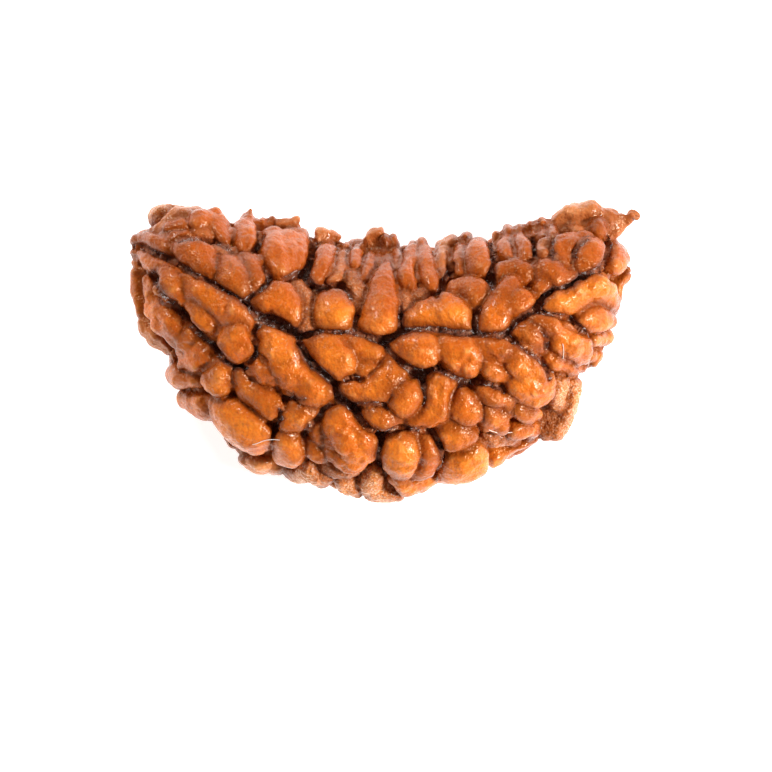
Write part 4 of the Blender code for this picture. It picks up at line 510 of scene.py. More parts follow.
# dark channels between the lobes of the face: centre line and half width
CHANNELS = {
    "seam_left": [
        (-15.2, 6.42, 0.08), (-14.4, 6.2, 0.15), (-13.5, 5.85, 0.17), (-12.6, 5.45, 0.15),
        (-11.5, 4.8, 0.15), (-10.5, 4.3, 0.15), (-9.8, 3.8, 0.15), (-9, 3.3, 0.15),
        (-8.3, 2.85, 0.2), (-7.7, 2.3, 0.22), (-7.2, 1.9, 0.27), (-6.6, 1.75, 0.3),
        (-6, 1.6, 0.26), (-5.4, 1.25, 0.24), (-5, 0.95, 0.26), (-4.3, 1.05, 0.16),
        (-3.6, 1.2, 0.12), (-2.6, 1.15, 0.1), (-1.7, 1.05, 0.12), (-1, 0.9, 0.14),
        (-0.5, 0.7, 0.2), (0, 0.65, 0.22)],
    "seam_right": [
        (0, 0.65, 0.22), (0.5, 0.8, 0.18), (1, 1.1, 0.18), (1.6, 1.3, 0.14), (2.6, 1.35, 0.14),
        (3.6, 1.25, 0.16), (4.4, 1.12, 0.17), (5.4, 1.08, 0.2), (6.3, 1, 0.17), (7.1, 1, 0.2),
        (7.5, 1.35, 0.16), (7.9, 1.8, 0.14), (8.4, 2.2, 0.15), (9, 2.4, 0.22), (9.3, 2.85, 0.2),
        (9.5, 3.3, 0.16), (10, 3.75, 0.14), (10.6, 3.9, 0.12), (11.1, 4.05, 0.18),
        (11.6, 4.45, 0.24), (12.3, 4.75, 0.16), (12.9, 5.1, 0.12), (13.2, 5.6, 0.12),
        (13.5, 6.3, 0.14), (13.4, 6.8, 0.08)],
    "belly_middle": [
        (-5, 0.5, 0.15), (-4.6, -0.4, 0.2), (-4, -0.9, 0.22), (-3.4, -1.4, 0.2),
        (-2.95, -1.9, 0.2), (-2.75, -2.5, 0.22), (-2.3, -3, 0.22), (-1.7, -3.4, 0.22),
        (-1.35, -4, 0.16), (-0.9, -4.5, 0.17), (-0.2, -4.72, 0.15), (0.7, -4.55, 0.14),
        (1.4, -4.45, 0.14), (2.2, -4.62, 0.12), (2.9, -4.75, 0.12), (3.15, -5.2, 0.13),
        (3.35, -5.7, 0.16), (3.4, -6.3, 0.14)],
    "belly_down": [(-0.05, -4.9, 0.14), (-0.3, -5.6, 0.14), (-0.5, -6.2, 0.14), (-0.25, -6.8, 0.1)],
    "belly_right": [
        (0.1, 0.35, 0.12), (0.6, -0.3, 0.12), (1.2, -0.8, 0.17), (1.8, -1.25, 0.26),
        (2.3, -1.2, 0.17), (3.1, -1.05, 0.12), (3.8, -1.35, 0.1), (4.5, -1.7, 0.12),
        (5.4, -1.8, 0.12), (6.2, -1.95, 0.1), (7, -2.35, 0.1)],
    "ball_right": [(2.1, -1.5, 0.15), (2.35, -2.1, 0.14), (2.45, -2.7, 0.1), (2.4, -3.1, 0.06)],
    "hook_inside": [(-2.3, -1.7, 0.12), (-1.7, -1.5, 0.12), (-1.3, -1.6, 0.06)],
    "hook_below": [(-2, -3.05, 0.1), (-1, -3, 0.08), (-0.1, -3.05, 0.09), (0.2, -3.35, 0.05)],
    "dome_left": [
        (-3, -3.05, 0.12), (-3.6, -3.4, 0.1), (-3.9, -3.95, 0.1), (-4.45, -4.4, 0.09),
        (-4.72, -4.8, 0.12), (-4.7, -5.4, 0.08)],
    "left_foot": [(-5.9, -2.75, 0.14), (-5.2, -2.62, 0.1), (-4.6, -2.75, 0.05)],
    "left_gap": [
        (-6.2, -3.3, 0.08), (-6, -3.9, 0.1), (-6.3, -4.4, 0.14), (-6.5, -4.9, 0.1)],
    "flank": [
        (-13.75, 4.65, 0.2), (-13.5, 4, 0.12), (-13, 3.3, 0.12), (-12.4, 2.8, 0.14),
        (-12, 2.3, 0.16), (-11.6, 1.75, 0.14), (-11.1, 1.2, 0.12), (-10.5, 0.7, 0.12),
        (-9.9, 0.2, 0.15), (-9.4, -0.6, 0.2), (-8.8, -0.9, 0.16), (-8.1, -1, 0.1)],
    "finger_tip": [
        (-7.3, 1.6, 0.16), (-7.7, 1.1, 0.13), (-7.55, 0.5, 0.13), (-7.55, -0.1, 0.12),
        (-7.9, -0.6, 0.1)],
    "upper_left": [
        (-12.2, 6.5, 0.06), (-11.2, 6.62, 0.1), (-10.2, 6.5, 0.12), (-9.6, 6.3, 0.14),
        (-9.1, 5.9, 0.08)],
    "slab_left": [(-7.15, 6.8, 0.08), (-7.4, 6.3, 0.1), (-7.8, 5.95, 0.08)],
    "slab_below": [
        (-7.15, 5, 0.1), (-6.85, 4.5, 0.14), (-6.75, 4.05, 0.12), (-7.2, 3.65, 0.1),
        (-7.8, 3.35, 0.12), (-8.2, 2.95, 0.14)],
    "slab_right": [
        (-4.05, 6.5, 0.06), (-4.2, 5.8, 0.12), (-4.4, 5.2, 0.17), (-4.65, 4.65, 0.24),
        (-5.3, 4.6, 0.14), (-5.9, 4.35, 0.1)],
    "tooth_top": [
        (-4.5, 4.35, 0.2), (-4.1, 3.85, 0.18), (-3.6, 3.75, 0.12), (-3.1, 3.9, 0.14),
        (-2.6, 3.85, 0.18), (-2.2, 3.5, 0.12), (-2, 3.1, 0.08)],
    "pin_left": [(-1.75, 2.05, 0.06), (-1.78, 1.5, 0.08), (-1.72, 1.05, 0.08)],
    "pin_right": [(0.95, 2.6, 0.1), (1, 2, 0.18), (0.95, 1.5, 0.16), (0.95, 1.15, 0.16)],
    "ridge_8_left": [(3.1, 3.3, 0.1), (3.45, 4, 0.12), (3.75, 4.7, 0.15), (4.1, 5.2, 0.12)],
    "tooth_3_right": [(5.45, 1.2, 0.18), (5.4, 1.8, 0.16), (5.5, 2.2, 0.14), (5.75, 2.6, 0.06)],
    "ridge_11_below": [
        (6.5, 6.4, 0.08), (6.45, 5.6, 0.12), (6.42, 4.9, 0.15), (6.3, 4.3, 0.22), (6.4, 3.8, 0.15)],
    "ridge_13_right": [(8.9, 6.7, 0.1), (8.95, 6, 0.14), (9, 5.4, 0.12)],
    "curl_left": [(10.2, 6.7, 0.06), (10.05, 6.1, 0.09), (10.02, 5.5, 0.07)],
    "curl_inside": [(12.1, 6.65, 0.05), (11.65, 6.3, 0.12), (11.35, 5.9, 0.13), (11.25, 5.4, 0.1)],
    "hook_inner": [(9.35, 1.2, 0.05), (9.65, 0.75, 0.1), (9.6, 0.2, 0.12)],
    "hook_right": [
        (9.2, 2.35, 0.14), (9.9, 2.22, 0.09), (10.6, 2.1, 0.09), (11.15, 1.92, 0.12),
        (11.55, 1.55, 0.15), (11.95, 1.25, 0.12)],
    "long_right": [(7.3, 0.9, 0.17), (7.8, 0.45, 0.15), (8.3, 0, 0.13), (9, -0.4, 0.13),
                   (9.6, -0.9, 0.1), (9.8, -1.6, 0.08)],
}


def smooth_min(first, second, blend):
    """Smaller of two distances, rounded where they meet."""
    near = np.clip(0.5 + 0.5 * (second - first) / blend, 0.0, 1.0)
    return second + (first - second) * near - blend * near * (1.0 - near)


def smooth_max(first, second, blend):
    """Larger of two distances, rounded where they meet."""
    return -smooth_min(-first, -second, blend)


def smooth_step(share):
    """A share from 0 to 1, eased at both ends."""
    return share * share * (3.0 - 2.0 * share)


def soft_noise(points, size, seed):
    """Smooth random values from -1 to 1 that change over the given size."""
    table = np.random.RandomState(seed).uniform(-1.0, 1.0, (NOISE_CELLS,) * 3)
    place = points / size + NOISE_START
    cell = np.floor(place).astype(int)
    part = smooth_step(place - cell)
    total = np.zeros(len(points))
    for corner in np.ndindex(2, 2, 2):
        share = np.ones(len(points))
        for axis in range(3):
            share *= part[:, axis] if corner[axis] else 1.0 - part[:, axis]
        index = (cell + corner) % NOISE_CELLS
        total += share * table[index[:, 0], index[:, 1], index[:, 2]]
    return total


def soft_moves(points, size, seeds):
    """Smooth random moves, up to 1 along each axis."""
    return np.stack([soft_noise(points, size, seed) for seed in seeds], axis=1)


def core_level(points):
    """Level of the core: negative inside it, zero on it."""
    x, y, z = points.T
    turn = np.degrees(np.arctan2(y - BELLY_CENTRE[1], x - BELLY_CENTRE[0]))
    radius = np.full(len(points), BELLY_RADIUS)
    for direction, width, depth in BELLY_TRIMS:
        radius -= depth * np.exp(-(((turn - direction) / width) ** 2))
    belly = radius - np.hypot(x - BELLY_CENTRE[0], y - BELLY_CENTRE[1])
    hollow = np.hypot(x - HOLLOW_CENTRE[0], y - HOLLOW_CENTRE[1]) - HOLLOW_RADIUS
    edge = np.maximum(1.0 - smooth_min(belly, hollow, HORN_BLEND) / EDGE_WIDTH, THINNEST_EDGE)
    face = z > 0.0
    depth = np.where(face, FACE_DEPTH, BACK_DEPTH)
    power = np.where(face, FACE_FULLNESS, BACK_FULLNESS)
    return (edge ** power + (np.abs(z) / depth) ** power) ** (1.0 / power) - 1.0


def core_slope(points):
    """Gradient of the core's level."""
    slope = np.empty((len(points), 3))
    for axis in range(3):
        shift = np.zeros(3)
        shift[axis] = CORE_STEP
        slope[:, axis] = core_level(points + shift) - core_level(points - shift)
    return slope / (2.0 * CORE_STEP)


def core_distance(points):
    """Distance from the core, near enough close to it."""
    return core_level(points) / np.linalg.norm(core_slope(points), axis=1)


def core_normal(points):
    """Outward direction of the core."""
    slope = core_slope(points)
    return slope / np.linalg.norm(slope, axis=1)[:, None]


def on_core(centre, directions):
    """Points where rays from the centre leave the core."""
    near = np.zeros(len(directions))
    far = np.full(len(directions), LONGEST_RAY)
    for _ in range(HALVINGS):
        middle = (near + far) / 2.0
        inside = core_level(centre + directions * middle[:, None]) < 0.0
        near = np.where(inside, middle, near)
        far = np.where(inside, far, middle)
    return centre + directions * near[:, None]


def lifted(path, kind):
    """Centres of a face lobe's spheres, standing on the face of the core."""
    sink = DRY_SINK if kind in ("dry", "pale") else 0.0
    rise = LOBE_RISE + LOBE_RISE_PER_RADIUS * path[:, 2] - sink
    low = np.zeros(len(path))
    high = np.full(len(path), HIGHEST_CENTRE)
    for _ in range(HALVINGS):
        middle = (low + high) / 2.0
        below = core_distance(np.column_stack([path[:, :2], middle])) < rise
        low = np.where(below, middle, low)
        high = np.where(below, high, middle)
    return np.column_stack([path[:, :2], low])


def halved(path):
    """A path with one more point in the middle of each step, on a smooth curve."""
    padded = np.vstack([2.0 * path[0] - path[1], path, 2.0 * path[-1] - path[-2]])
    near = NEAR_WEIGHT * (padded[1:-2] + padded[2:-1])
    result = np.empty((2 * len(path) - 1, path.shape[1]))
    result[0::2] = path
    result[1::2] = (near - padded[:-3] - padded[3:]) / ALL_WEIGHTS
    return result


def channel_depth(points):
    """How far points on the face are inside a channel, seen from above; negative outside."""
    total = np.full(len(points), -FAR)
    face = np.nonzero(points[:, 2] > 0.0)[0]
    flat = points[face, :2]
    inside = np.full(len(face), -FAR)
    for path in CHANNELS.values():
        path = np.array(path)
        low = path[:, :2].min(axis=0) - CHANNEL_MARGIN
        high = path[:, :2].max(axis=0) + CHANNEL_MARGIN
        near = np.nonzero(np.all((flat > low) & (flat < high), axis=1))[0]
        for start, end in zip(path[:-1], path[1:]):
            axis = (end - start)[:2]
            along = np.clip((flat[near] - start[:2]) @ axis / (axis @ axis), 0.0, 1.0)
            away = np.linalg.norm(flat[near] - start[:2] - along[:, None] * axis, axis=1)
            width = start[2] + along * (end[2] - start[2])
            inside[near] = np.maximum(inside[near], width - away)
    total[face] = inside
    return total


class Chain:
    """Spheres on the core, each joined to the next."""

    def __init__(self, kind, path, seated):
        self.dry = float(kind == "dry")
        self.pale = float(kind == "pale")
        self.lumpy = float(kind in ("lumpy", "pale"))
        if len(path) > 1:
            path = halved(path)
        self.radii = path[:, -1]
        self.centres = lifted(path, kind) if seated else path[:, :3]
        self.normals = core_normal(self.centres)
        upright = np.array([0.0, 0.0, 1.0])
        down = upright - self.normals[:, 2:] * self.normals
        steep = np.maximum(np.linalg.norm(down, axis=1), NO_DIVISION_BY_ZERO)
        self.downhill = down / steep[:, None]
        reach = (self.radii * (2.0 - np.abs(self.normals[:, 2])) + CULL_MARGIN)[:, None]
        self.low = (self.centres - reach).min(axis=0)
        self.high = (self.centres + reach).max(axis=0)

    def link(self, points, first, second):
        """Distance to one link: a tapered dome with straight sides down to its root."""
        start = self.centres[first]
        axis = self.centres[second] - start
        reach = max(axis @ axis, NO_DIVISION_BY_ZERO)
        along = np.clip((points - start) @ axis / reach, 0.0, 1.0)[:, None]
        offset = points - start - along * axis
        normal = self.normals[first] + along * (self.normals[second] - self.normals[first])
        normal /= np.linalg.norm(normal, axis=1)[:, None]
        downhill = self.downhill[first] + along * (self.downhill[second] - self.downhill[first])
        tilt = 1.0 - np.abs(normal[:, 2])
        slide = (offset * downhill).sum(axis=1) * tilt * SLOPE_STRETCH
        up = (offset * normal).sum(axis=1)
        change = np.where(up > 0.0, up * DOME_FLATNESS * (1.0 - tilt), np.minimum(-up, ROOT))
        offset = offset - downhill * slide[:, None] + normal * change[:, None]
        radius = self.radii[first] + along[:, 0] * (self.radii[second] - self.radii[first])
        return np.linalg.norm(offset, axis=1) - radius

    def distance(self, points):
        """Distance to the whole chain."""
        total = self.link(points, 0, min(1, len(self.centres) - 1))
        for index in range(1, len(self.centres) - 1):
            total = np.minimum(total, self.link(points, index, index + 1))
        return total


class Lobe:
    """Chains that are one lobe, with shallow creases between them."""

    def __init__(self, chains, growth):
        self.chains = chains
        self.growth = growth
        self.low = np.min([chain.low for chain in chains], axis=0)
        self.high = np.max([chain.high for chain in chains], axis=0)


class Relief:
    """The grown surface: the core with its lobes, wavy at the size of a lobe and smaller."""

    def __init__(self, lobes, groove, shoulder, floor, sink=0.0, taper=0.0, depth=FAR,
                 channel_shoulder=None):
        self.lobes = lobes
        self.groove = groove
        self.shoulder = shoulder
        self.floor = floor
        self.sink = sink
        self.taper = taper
        self.depth = depth
        self.channel_shoulder = channel_shoulder or shoulder
        self.chains = [chain for lobe in lobes for chain in lobe.chains]

    def nearest(self, points):
        """Distance to the nearest lobe, or a far value, its number and its chain's, or -1,
        and how far away the middle of the nearest groove is."""
        warp = soft_moves(points, WARP_SIZE, WARP_SEEDS)
        behind = np.clip(-points[:, 2] / BACK_WARP_DEPTH, 0.0, 1.0)
        points = points + warp * (FACE_WARP + (BACK_WARP - FACE_WARP) * behind)[:, None]
        order = np.argsort(points[:, 0])
        ordered = points[order]
        best = np.full(len(points), FAR)
        second = np.full(len(points), FAR)
        crease = np.full(len(points), FAR)
        owner = np.full(len(points), -1)
        part = np.full(len(points), -1)
        chain_number = -1
        for number, lobe in enumerate(self.lobes):
            first, last = np.searchsorted(ordered[:, 0], (lobe.low[0], lobe.high[0]))
            strip = ordered[first:last]
            inside = np.all((strip > lobe.low) & (strip < lobe.high), axis=1)
            picked = np.nonzero(inside)[0] + first
            gap = np.full(len(picked), FAR)
            other = np.full(len(picked), FAR)
            nearest = np.full(len(picked), -1)
            for chain in lobe.chains:
                chain_number += 1
                near = chain.distance(ordered[picked])
                nearest[near < gap] = chain_number
                other = np.where(near < gap, gap, np.minimum(other, near))
                gap = np.minimum(gap, near)
            closer = gap < best[picked]
            part[picked[closer]] = nearest[closer]
            owner[picked[closer]] = number
            crease[picked[closer]] = (other - gap)[closer]
            second[picked] = np.where(closer, best[picked], np.minimum(second[picked], gap))
            best[picked] = np.minimum(best[picked], gap)
        top = best - np.array([lobe.growth for lobe in self.lobes] + [0.0])[owner]
        wave = soft_noise(ordered, GROOVE_WAVE["size"], GROOVE_WAVE["seed"])
        width = self.groove * (1.0 + GROOVE_WAVE["share"] * wave)
        groove = (width - (second - best)) / 2.0 + self.taper * np.minimum(top, 0.0)
        groove = np.minimum(groove, top + self.depth)
        fold = np.minimum((CREASE_WIDTH - crease) * CREASE_SLOPE, top + CREASE_DEPTH)
        total = smooth_max(top, groove, self.shoulder)
        total = smooth_max(total, fold, CREASE_BLEND)
        channel = channel_depth(ordered)
        total = smooth_max(total, channel, self.channel_shoulder)
        # nearness to a groove or crease, which sets the painted shade on the lobes
        gap = np.minimum((second - best) / 2.0, crease / 2.0 + CREASE_PALENESS)
        gap = np.minimum(gap, -channel)
        back = np.argsort(order)
        return total[back], owner[back], part[back], gap[back]

    def distance(self, points):
        """Distance to the grown surface."""
        core = core_distance(points) + self.sink
        total = smooth_min(self.nearest(points)[0], core, self.floor)
        for height, size, seed in SURFACE_WAVES:
            total -= height * soft_noise(points, size, seed)
        return total

    def settle(self, points, rounds):
        """Move points onto the grown surface along its slope."""
        for _ in range(rounds):
            here = self.distance(points)
            slope = np.empty((len(points), 3))
            for axis in range(3):
                shift = np.zeros(3)
                shift[axis] = SETTLE_STEP
                slope[:, axis] = (self.distance(points + shift) - here) / SETTLE_STEP
            size = np.maximum((slope ** 2).sum(axis=1), LEAST_SLOPE)
            move = -slope * (here / size)[:, None]
            length = np.maximum(np.linalg.norm(move, axis=1), NO_DIVISION_BY_ZERO)
            points = points + move * np.minimum(1.0, LONGEST_MOVE / length)[:, None]
        return points


def face_lobes():
    """The lobes that are listed one by one."""
    groups = {}
    for name, (kind, path) in FACE_LOBES.items():
        chain = Chain(kind, np.array(path), seated=True)
        groups.setdefault(name.split(".")[0], []).append(chain)
    lobes = []
    for chains in groups.values():
        upright = np.abs(np.concatenate([chain.normals[:, 2] for chain in chains])).mean()
        lobes.append(Lobe(chains, RIM_GROWTH + (FACE_GROWTH - RIM_GROWTH) * upright))
    return lobes


def seats_on_core(placed, random):
    """Even random seats where the placed lobes leave room, and how much room each has."""
    directions = random.normal(size=(SEAT_TRIES, 3))
    directions /= np.linalg.norm(directions, axis=1)[:, None]
    spots = on_core(np.array(BALL_CENTRE), directions)
    spots = spots[spots[:, 2] < SEAT_TOP]
    solid = Relief(placed, SOLID_GROOVE, SOLID_SHOULDER, SOLID_FLOOR)
    room = solid.nearest(spots + SEAT_PROBE * core_normal(spots))[0]
    wave = soft_noise(spots, **SPACING_WAVE)
    spacing = np.interp(wave, SPACING_WAVE_ENDS, SEAT_SPACING)
    seats = []
    for index in np.nonzero(room > SEAT_ROOM)[0]:
        if all(np.linalg.norm(spots[index] - spots[other]) > spacing[index] for other in seats):
            seats.append(index)
    return spots[seats], room[seats]


def gentle(path):
    """Whether a chain of points makes no sharp turn."""
    steps = np.diff(path, axis=0)
    steps /= np.linalg.norm(steps, axis=1)[:, None]
    return bool(np.all((steps[1:] * steps[:-1]).sum(axis=1) > CHAIN_TURN))


def joined_seats(seats, away, random):
    """Seats joined to near neighbours in short, gently curved chains."""
    chains = [[index] for index in range(len(seats))]
    for index in random.permutation(len(seats)):
        for other in np.argsort(away[index])[:CHAIN_CHOICES]:
            mine = next(chain for chain in chains if index in chain)
            theirs = next(chain for chain in chains if other in chain)
            if mine is theirs or away[index, other] > CHAIN_REACH:
                continue
            if len(mine) + len(theirs) > random.randint(2, LONGEST_CHAIN):
                continue
            first = mine if mine[-1] == index else mine[::-1]
            second = theirs if theirs[0] == other else theirs[::-1]
            if first[-1] != index or second[0] != other or not gentle(seats[first + second]):
                continue
            chains.remove(mine)
            chains.remove(theirs)
            chains.append(first + second)
            break
    return chains


def grown_lobes(placed):
    """The lobes of the back and the rim."""
    random = np.random.RandomState(GROWN_SEED)
    seats, room = seats_on_core(placed, random)
    away = np.linalg.norm(seats[:, None] - seats[None], axis=2)
    np.fill_diagonal(away, NO_NEIGHBOUR)
    lobes = []
    for chain in joined_seats(seats, away, random):
        others = [seat for seat in range(len(seats)) if seat not in chain]
        places = seats[chain]
        rim = np.interp(places[:, 2], RIM_LEVELS, (0.0, 1.0))
        widest = GROWN_RADIUS[1] + (GROWN_RIM_RADIUS - GROWN_RADIUS[1]) * rim
        free = np.minimum(away[np.ix_(chain, others)].min(axis=1) / 2.0, room[chain])
        radii = np.clip(free - GROWN_GROWTH, GROWN_RADIUS[0], widest)
        rise = LOBE_RISE + LOBE_RISE_PER_RADIUS * radii - GROWN_RIM_SINK * rim
        centres = places + core_normal(places) * rise[:, None]
        kind = random.choice(("smooth", "lumpy", "lumpy", "dry"))
        path = np.column_stack([centres, radii])
        lobes.append(Lobe([Chain(kind, path, seated=False)], GROWN_GROWTH))
    return lobes


def mesh_from(pieces, name):
    """A new mesh from a bmesh, which is freed."""
    mesh = bpy.data.meshes.new(name)
    pieces.to_mesh(mesh)
    pieces.free()
    return mesh


def placed_object(name, data):
    """A new object in the scene."""
    item = bpy.data.objects.new(name, data)
    bpy.context.scene.collection.objects.link(item)
    return item


def grown_mesh(relief):
    """Bead surface as a mesh: a ball laid on the core, then drawn out or in to the lobes."""
    ball = bmesh.new()
    bmesh.ops.create_icosphere(ball, subdivisions=BALL_SUBDIVISIONS, radius=1.0)
    directions = np.array([vertex.co[:] for vertex in ball.verts])
    base = on_core(np.array(BALL_CENTRE), directions)
    normal = core_normal(base)
    height = np.full(len(base), START_HEIGHT)
    for _ in range(DRAW_ROUNDS):
        gap = relief.distance(base + normal * height[:, None])
        height = np.maximum(height - np.clip(gap, *DRAW_MOVES), DRAW_LOWEST)
    for vertex, place in zip(ball.verts, base + normal * height[:, None]):
        vertex.co = place
    return mesh_from(ball, "bead")


def shown_mesh(carrier):
    """The mesh that an object shows; the object goes."""
    graph = bpy.context.evaluated_depsgraph_get()
    result = bpy.data.meshes.new_from_object(carrier.evaluated_get(graph), depsgraph=graph)
    bpy.data.objects.remove(carrier)
    return result


def changed(mesh, kind, **settings):
    """A mesh after one modifier."""
    carrier = placed_object("carrier", mesh)
    modifier = carrier.modifiers.new(kind.lower(), kind)
    for name, value in settings.items():
        setattr(modifier, name, value)
    result = shown_mesh(carrier)
    bpy.data.meshes.remove(mesh)
    return result


def places_of(mesh):
    """Where a mesh's vertices are."""
    places = np.empty(len(mesh.vertices) * 3)
    mesh.vertices.foreach_get("co", places)
    return places.reshape(-1, 3)


def move_to(mesh, places):
    """Put a mesh's vertices at new places."""
    mesh.vertices.foreach_set("co", places.ravel())
    mesh.update()


def normals_of(mesh):
    """Outward directions at a mesh's vertices."""
    normals = np.empty(len(mesh.vertices) * 3)
    mesh.vertex_normals.foreach_get("vector", normals)
    return normals.reshape(-1, 3)


def edges_of(mesh):
    """Vertex numbers at the two ends of each edge."""
    ends = np.empty(len(mesh.edges) * 2, dtype=int)
    mesh.edges.foreach_get("vertices", ends)
    return ends.reshape(-1, 2)


def spread(values, edges, rounds):
    """Values evened out along a mesh's edges."""
    count = np.bincount(edges.ravel(), minlength=len(values))
    for _ in range(rounds):
        near = np.bincount(edges[:, 0], values[edges[:, 1]], len(values))
        near += np.bincount(edges[:, 1], values[edges[:, 0]], len(values))
        values = (values + near / count) / 2.0
    return values


def spread_places(places, edges, rounds):
    """Vertex places evened out along a mesh's edges."""
    return np.stack([spread(places[:, axis], edges, rounds) for axis in range(3)], axis=1)


def step_up(values, low, high):
    """0 below the low value, 1 above the high one, smooth between."""
    return smooth_step(np.clip((values - low) / (high - low), 0.0, 1.0))


def character_of(mesh, relief):
    """What the surface is like at each vertex: the kind and tint of its lobe, and how deep it lies."""
    places = places_of(mesh)
    edges = edges_of(mesh)
    lobe, chain, gap = relief.nearest(places)[1:]
    tints = np.random.RandomState(TINT_SEED).uniform(0.0, 1.0, len(relief.lobes) + 1)
    look = {
        "tint": tints[lobe],
        "channel": step_up(channel_depth(places), *CHANNEL_EDGE),
        "gap": np.clip(gap, *GAP_ENDS),
        "height": core_distance(places) + CORE_SINK,
    }
    for kind in ("dry", "pale", "lumpy"):
        look[kind] = np.array([getattr(one, kind) for one in relief.chains] + [0.0])[chain]
    return {name: spread(look[name], edges, rounds) for name, rounds in EVENING_ROUNDS.items()}


def add_fine_relief(mesh, relief):
    """Folds, higher on the lumpy lobes, and grain on the dry ones, at their feet and in channels."""
    look = character_of(mesh, relief)
    places = places_of(mesh)
    foot = 1.0 - step_up(look["height"], *ROUGH_FOOT)
    rough = np.maximum(np.maximum(look["dry"], look["channel"]), foot)
    moves = soft_moves(places, FOLD_WARP_SIZE, FOLD_WARP_SEEDS)
    push = np.zeros(len(places))
    for fold in FOLDS:
        ridges = np.abs(soft_noise(places + fold["bend"] * moves, fold["size"], fold["seed"]))
        height = fold["height"] + fold["lumpy_height"] * look["lumpy"]
        push += height * (ridges - FOLD_MIDDLE)
    for height, size, seed in GRAINS:
        push += height * rough * soft_noise(places, size, seed)
    move_to(mesh, places + normals_of(mesh) * push[:, None])


def keep_largest(bead):
    """Keep the largest connected body of a bmesh."""
    unseen = set(bead.verts)
    bodies = []
    while unseen:
        front = [unseen.pop()]
        body = list(front)
        while front:
            for edge in front.pop().link_edges:
                for vertex in edge.verts:
                    if vertex in unseen:
                        unseen.remove(vertex)
                        front.append(vertex)
                        body.append(vertex)
        bodies.append(body)
    bodies.sort(key=len)
    for body in bodies[:-1]:
        bmesh.ops.delete(bead, geom=body, context="VERTS")


def trim_to_box(bead, low, high):
    """Cut the underside flat, as far below the top as the solid's, and return the move that
    centres the bead on the solid; all in millimetres."""
    sides = [(min(vertex.co[axis] for vertex in bead.verts),
              max(vertex.co[axis] for vertex in bead.verts)) for axis in range(3)]
    top = sides[2][1]
    level = top - (high[2] - low[2])
    for vertex in bead.verts:
        if abs(vertex.co.z - level) < SEAT_SNAP:
            vertex.co.z = level
    parts = bead.verts[:] + bead.edges[:] + bead.faces[:]
    bmesh.ops.bisect_plane(
        bead, geom=parts, dist=CUT_TOLERANCE, plane_co=(0.0, 0.0, level),
        plane_no=(0.0, 0.0, 1.0), clear_inner=True)
    rims = [edge for edge in bead.edges if edge.is_boundary]
    bmesh.ops.holes_fill(bead, edges=rims, sides=0)
    bmesh.ops.triangulate(bead, faces=[face for face in bead.faces if len(face.verts) > 3])
    loose = [vertex for vertex in bead.verts if not vertex.link_faces]
    bmesh.ops.delete(bead, geom=loose, context="VERTS")
    middle = [(low[axis] + high[axis] - sum(sides[axis])) / 2.0 for axis in range(2)]
    return Vector((middle[0], middle[1], low[2] - level))


def set_attribute(mesh, name, values):
    """A value for each vertex, which the materials read."""
    attribute = mesh.attributes.new(name, "FLOAT", "POINT")
    attribute.data.foreach_set("value", values.astype(np.float32))


def attribute_of(mesh, name):
    """The values that an attribute holds for each vertex."""
    values = np.empty(len(mesh.vertices), dtype=np.float32)
    mesh.attributes[name].data.foreach_get("value", values)
    return values


def hollows(mesh, rounds):
    """How far each vertex lies below the evened surface round it; negative on a crest."""
    places = places_of(mesh)
    evened = spread_places(places, edges_of(mesh), rounds)
    return ((evened - places) * normals_of(mesh)).sum(axis=1)


def build_shell(shape):
    """The bead's whole shell as one closed mesh, with the values that its material reads."""
    placed = face_lobes()
    relief = Relief(placed + grown_lobes(placed), shape.groove_width / MM,
                    shape.shoulder_blend / MM, shape.floor_blend / MM, CORE_SINK, GROOVE_TAPER,
                    GROOVE_DEPTH, CHANNEL_SHOULDER)
    voxel = VOXEL
    mesh = changed(grown_mesh(relief), "REMESH", mode="VOXEL", voxel_size=voxel)
    move_to(mesh, relief.settle(places_of(mesh), 2))
    move_to(mesh, spread_places(places_of(mesh), edges_of(mesh), 1))
    move_to(mesh, relief.settle(places_of(mesh), 1))
    add_fine_relief(mesh, relief)
    mesh = changed(mesh, "TRIANGULATE")
    ratio = min(1.0, shape.triangles / len(mesh.polygons))
    mesh = changed(mesh, "DECIMATE", ratio=ratio)
    bead = bmesh.new()
    bead.from_mesh(mesh)
    keep_largest(bead)
    low, high = (corner / MM for corner in map(np.array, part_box(NODE)))
    shift = trim_to_box(bead, low, high)
    bead.to_mesh(mesh)
    bead.free()
    look = character_of(mesh, relief)
    del look["lumpy"]
    for name, rounds in HOLLOW_ROUNDS.items():
        look[name] = hollows(mesh, rounds)
    for name, values in look.items():
        set_attribute(mesh, name, values)
    mesh.transform(Matrix.Scale(MM, 4) @ Matrix.Translation(shift))
    mesh.shade_smooth()
    mesh.name = "bead_shell"
    return mesh


def shown(name, mesh, material):
    """A finished piece at the origin, riding on the bead's body."""
    piece = placed_object(name, mesh)
    mesh.materials.clear()
    mesh.materials.append(material)
    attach(piece, BODY)
    return piece


def sliver(pieces, start, along, up, length, radius):
    """Add one thin tapered fibre to a bmesh."""
    turn = np.column_stack([along, np.cross(up, along), up])
    made = bmesh.ops.create_cone(
        pieces, segments=FIBRE_SIDES, radius1=radius, radius2=radius * FIBRE_TIP, depth=length,
        cap_ends=True, cap_tris=True)
    lay = Matrix(turn.tolist()).to_4x4() @ Matrix.Rotation(np.pi / 2.0, 4, "Y")
    bmesh.ops.transform(
        pieces, matrix=Matrix.Translation(Vector(start)) @ lay, verts=made["verts"])


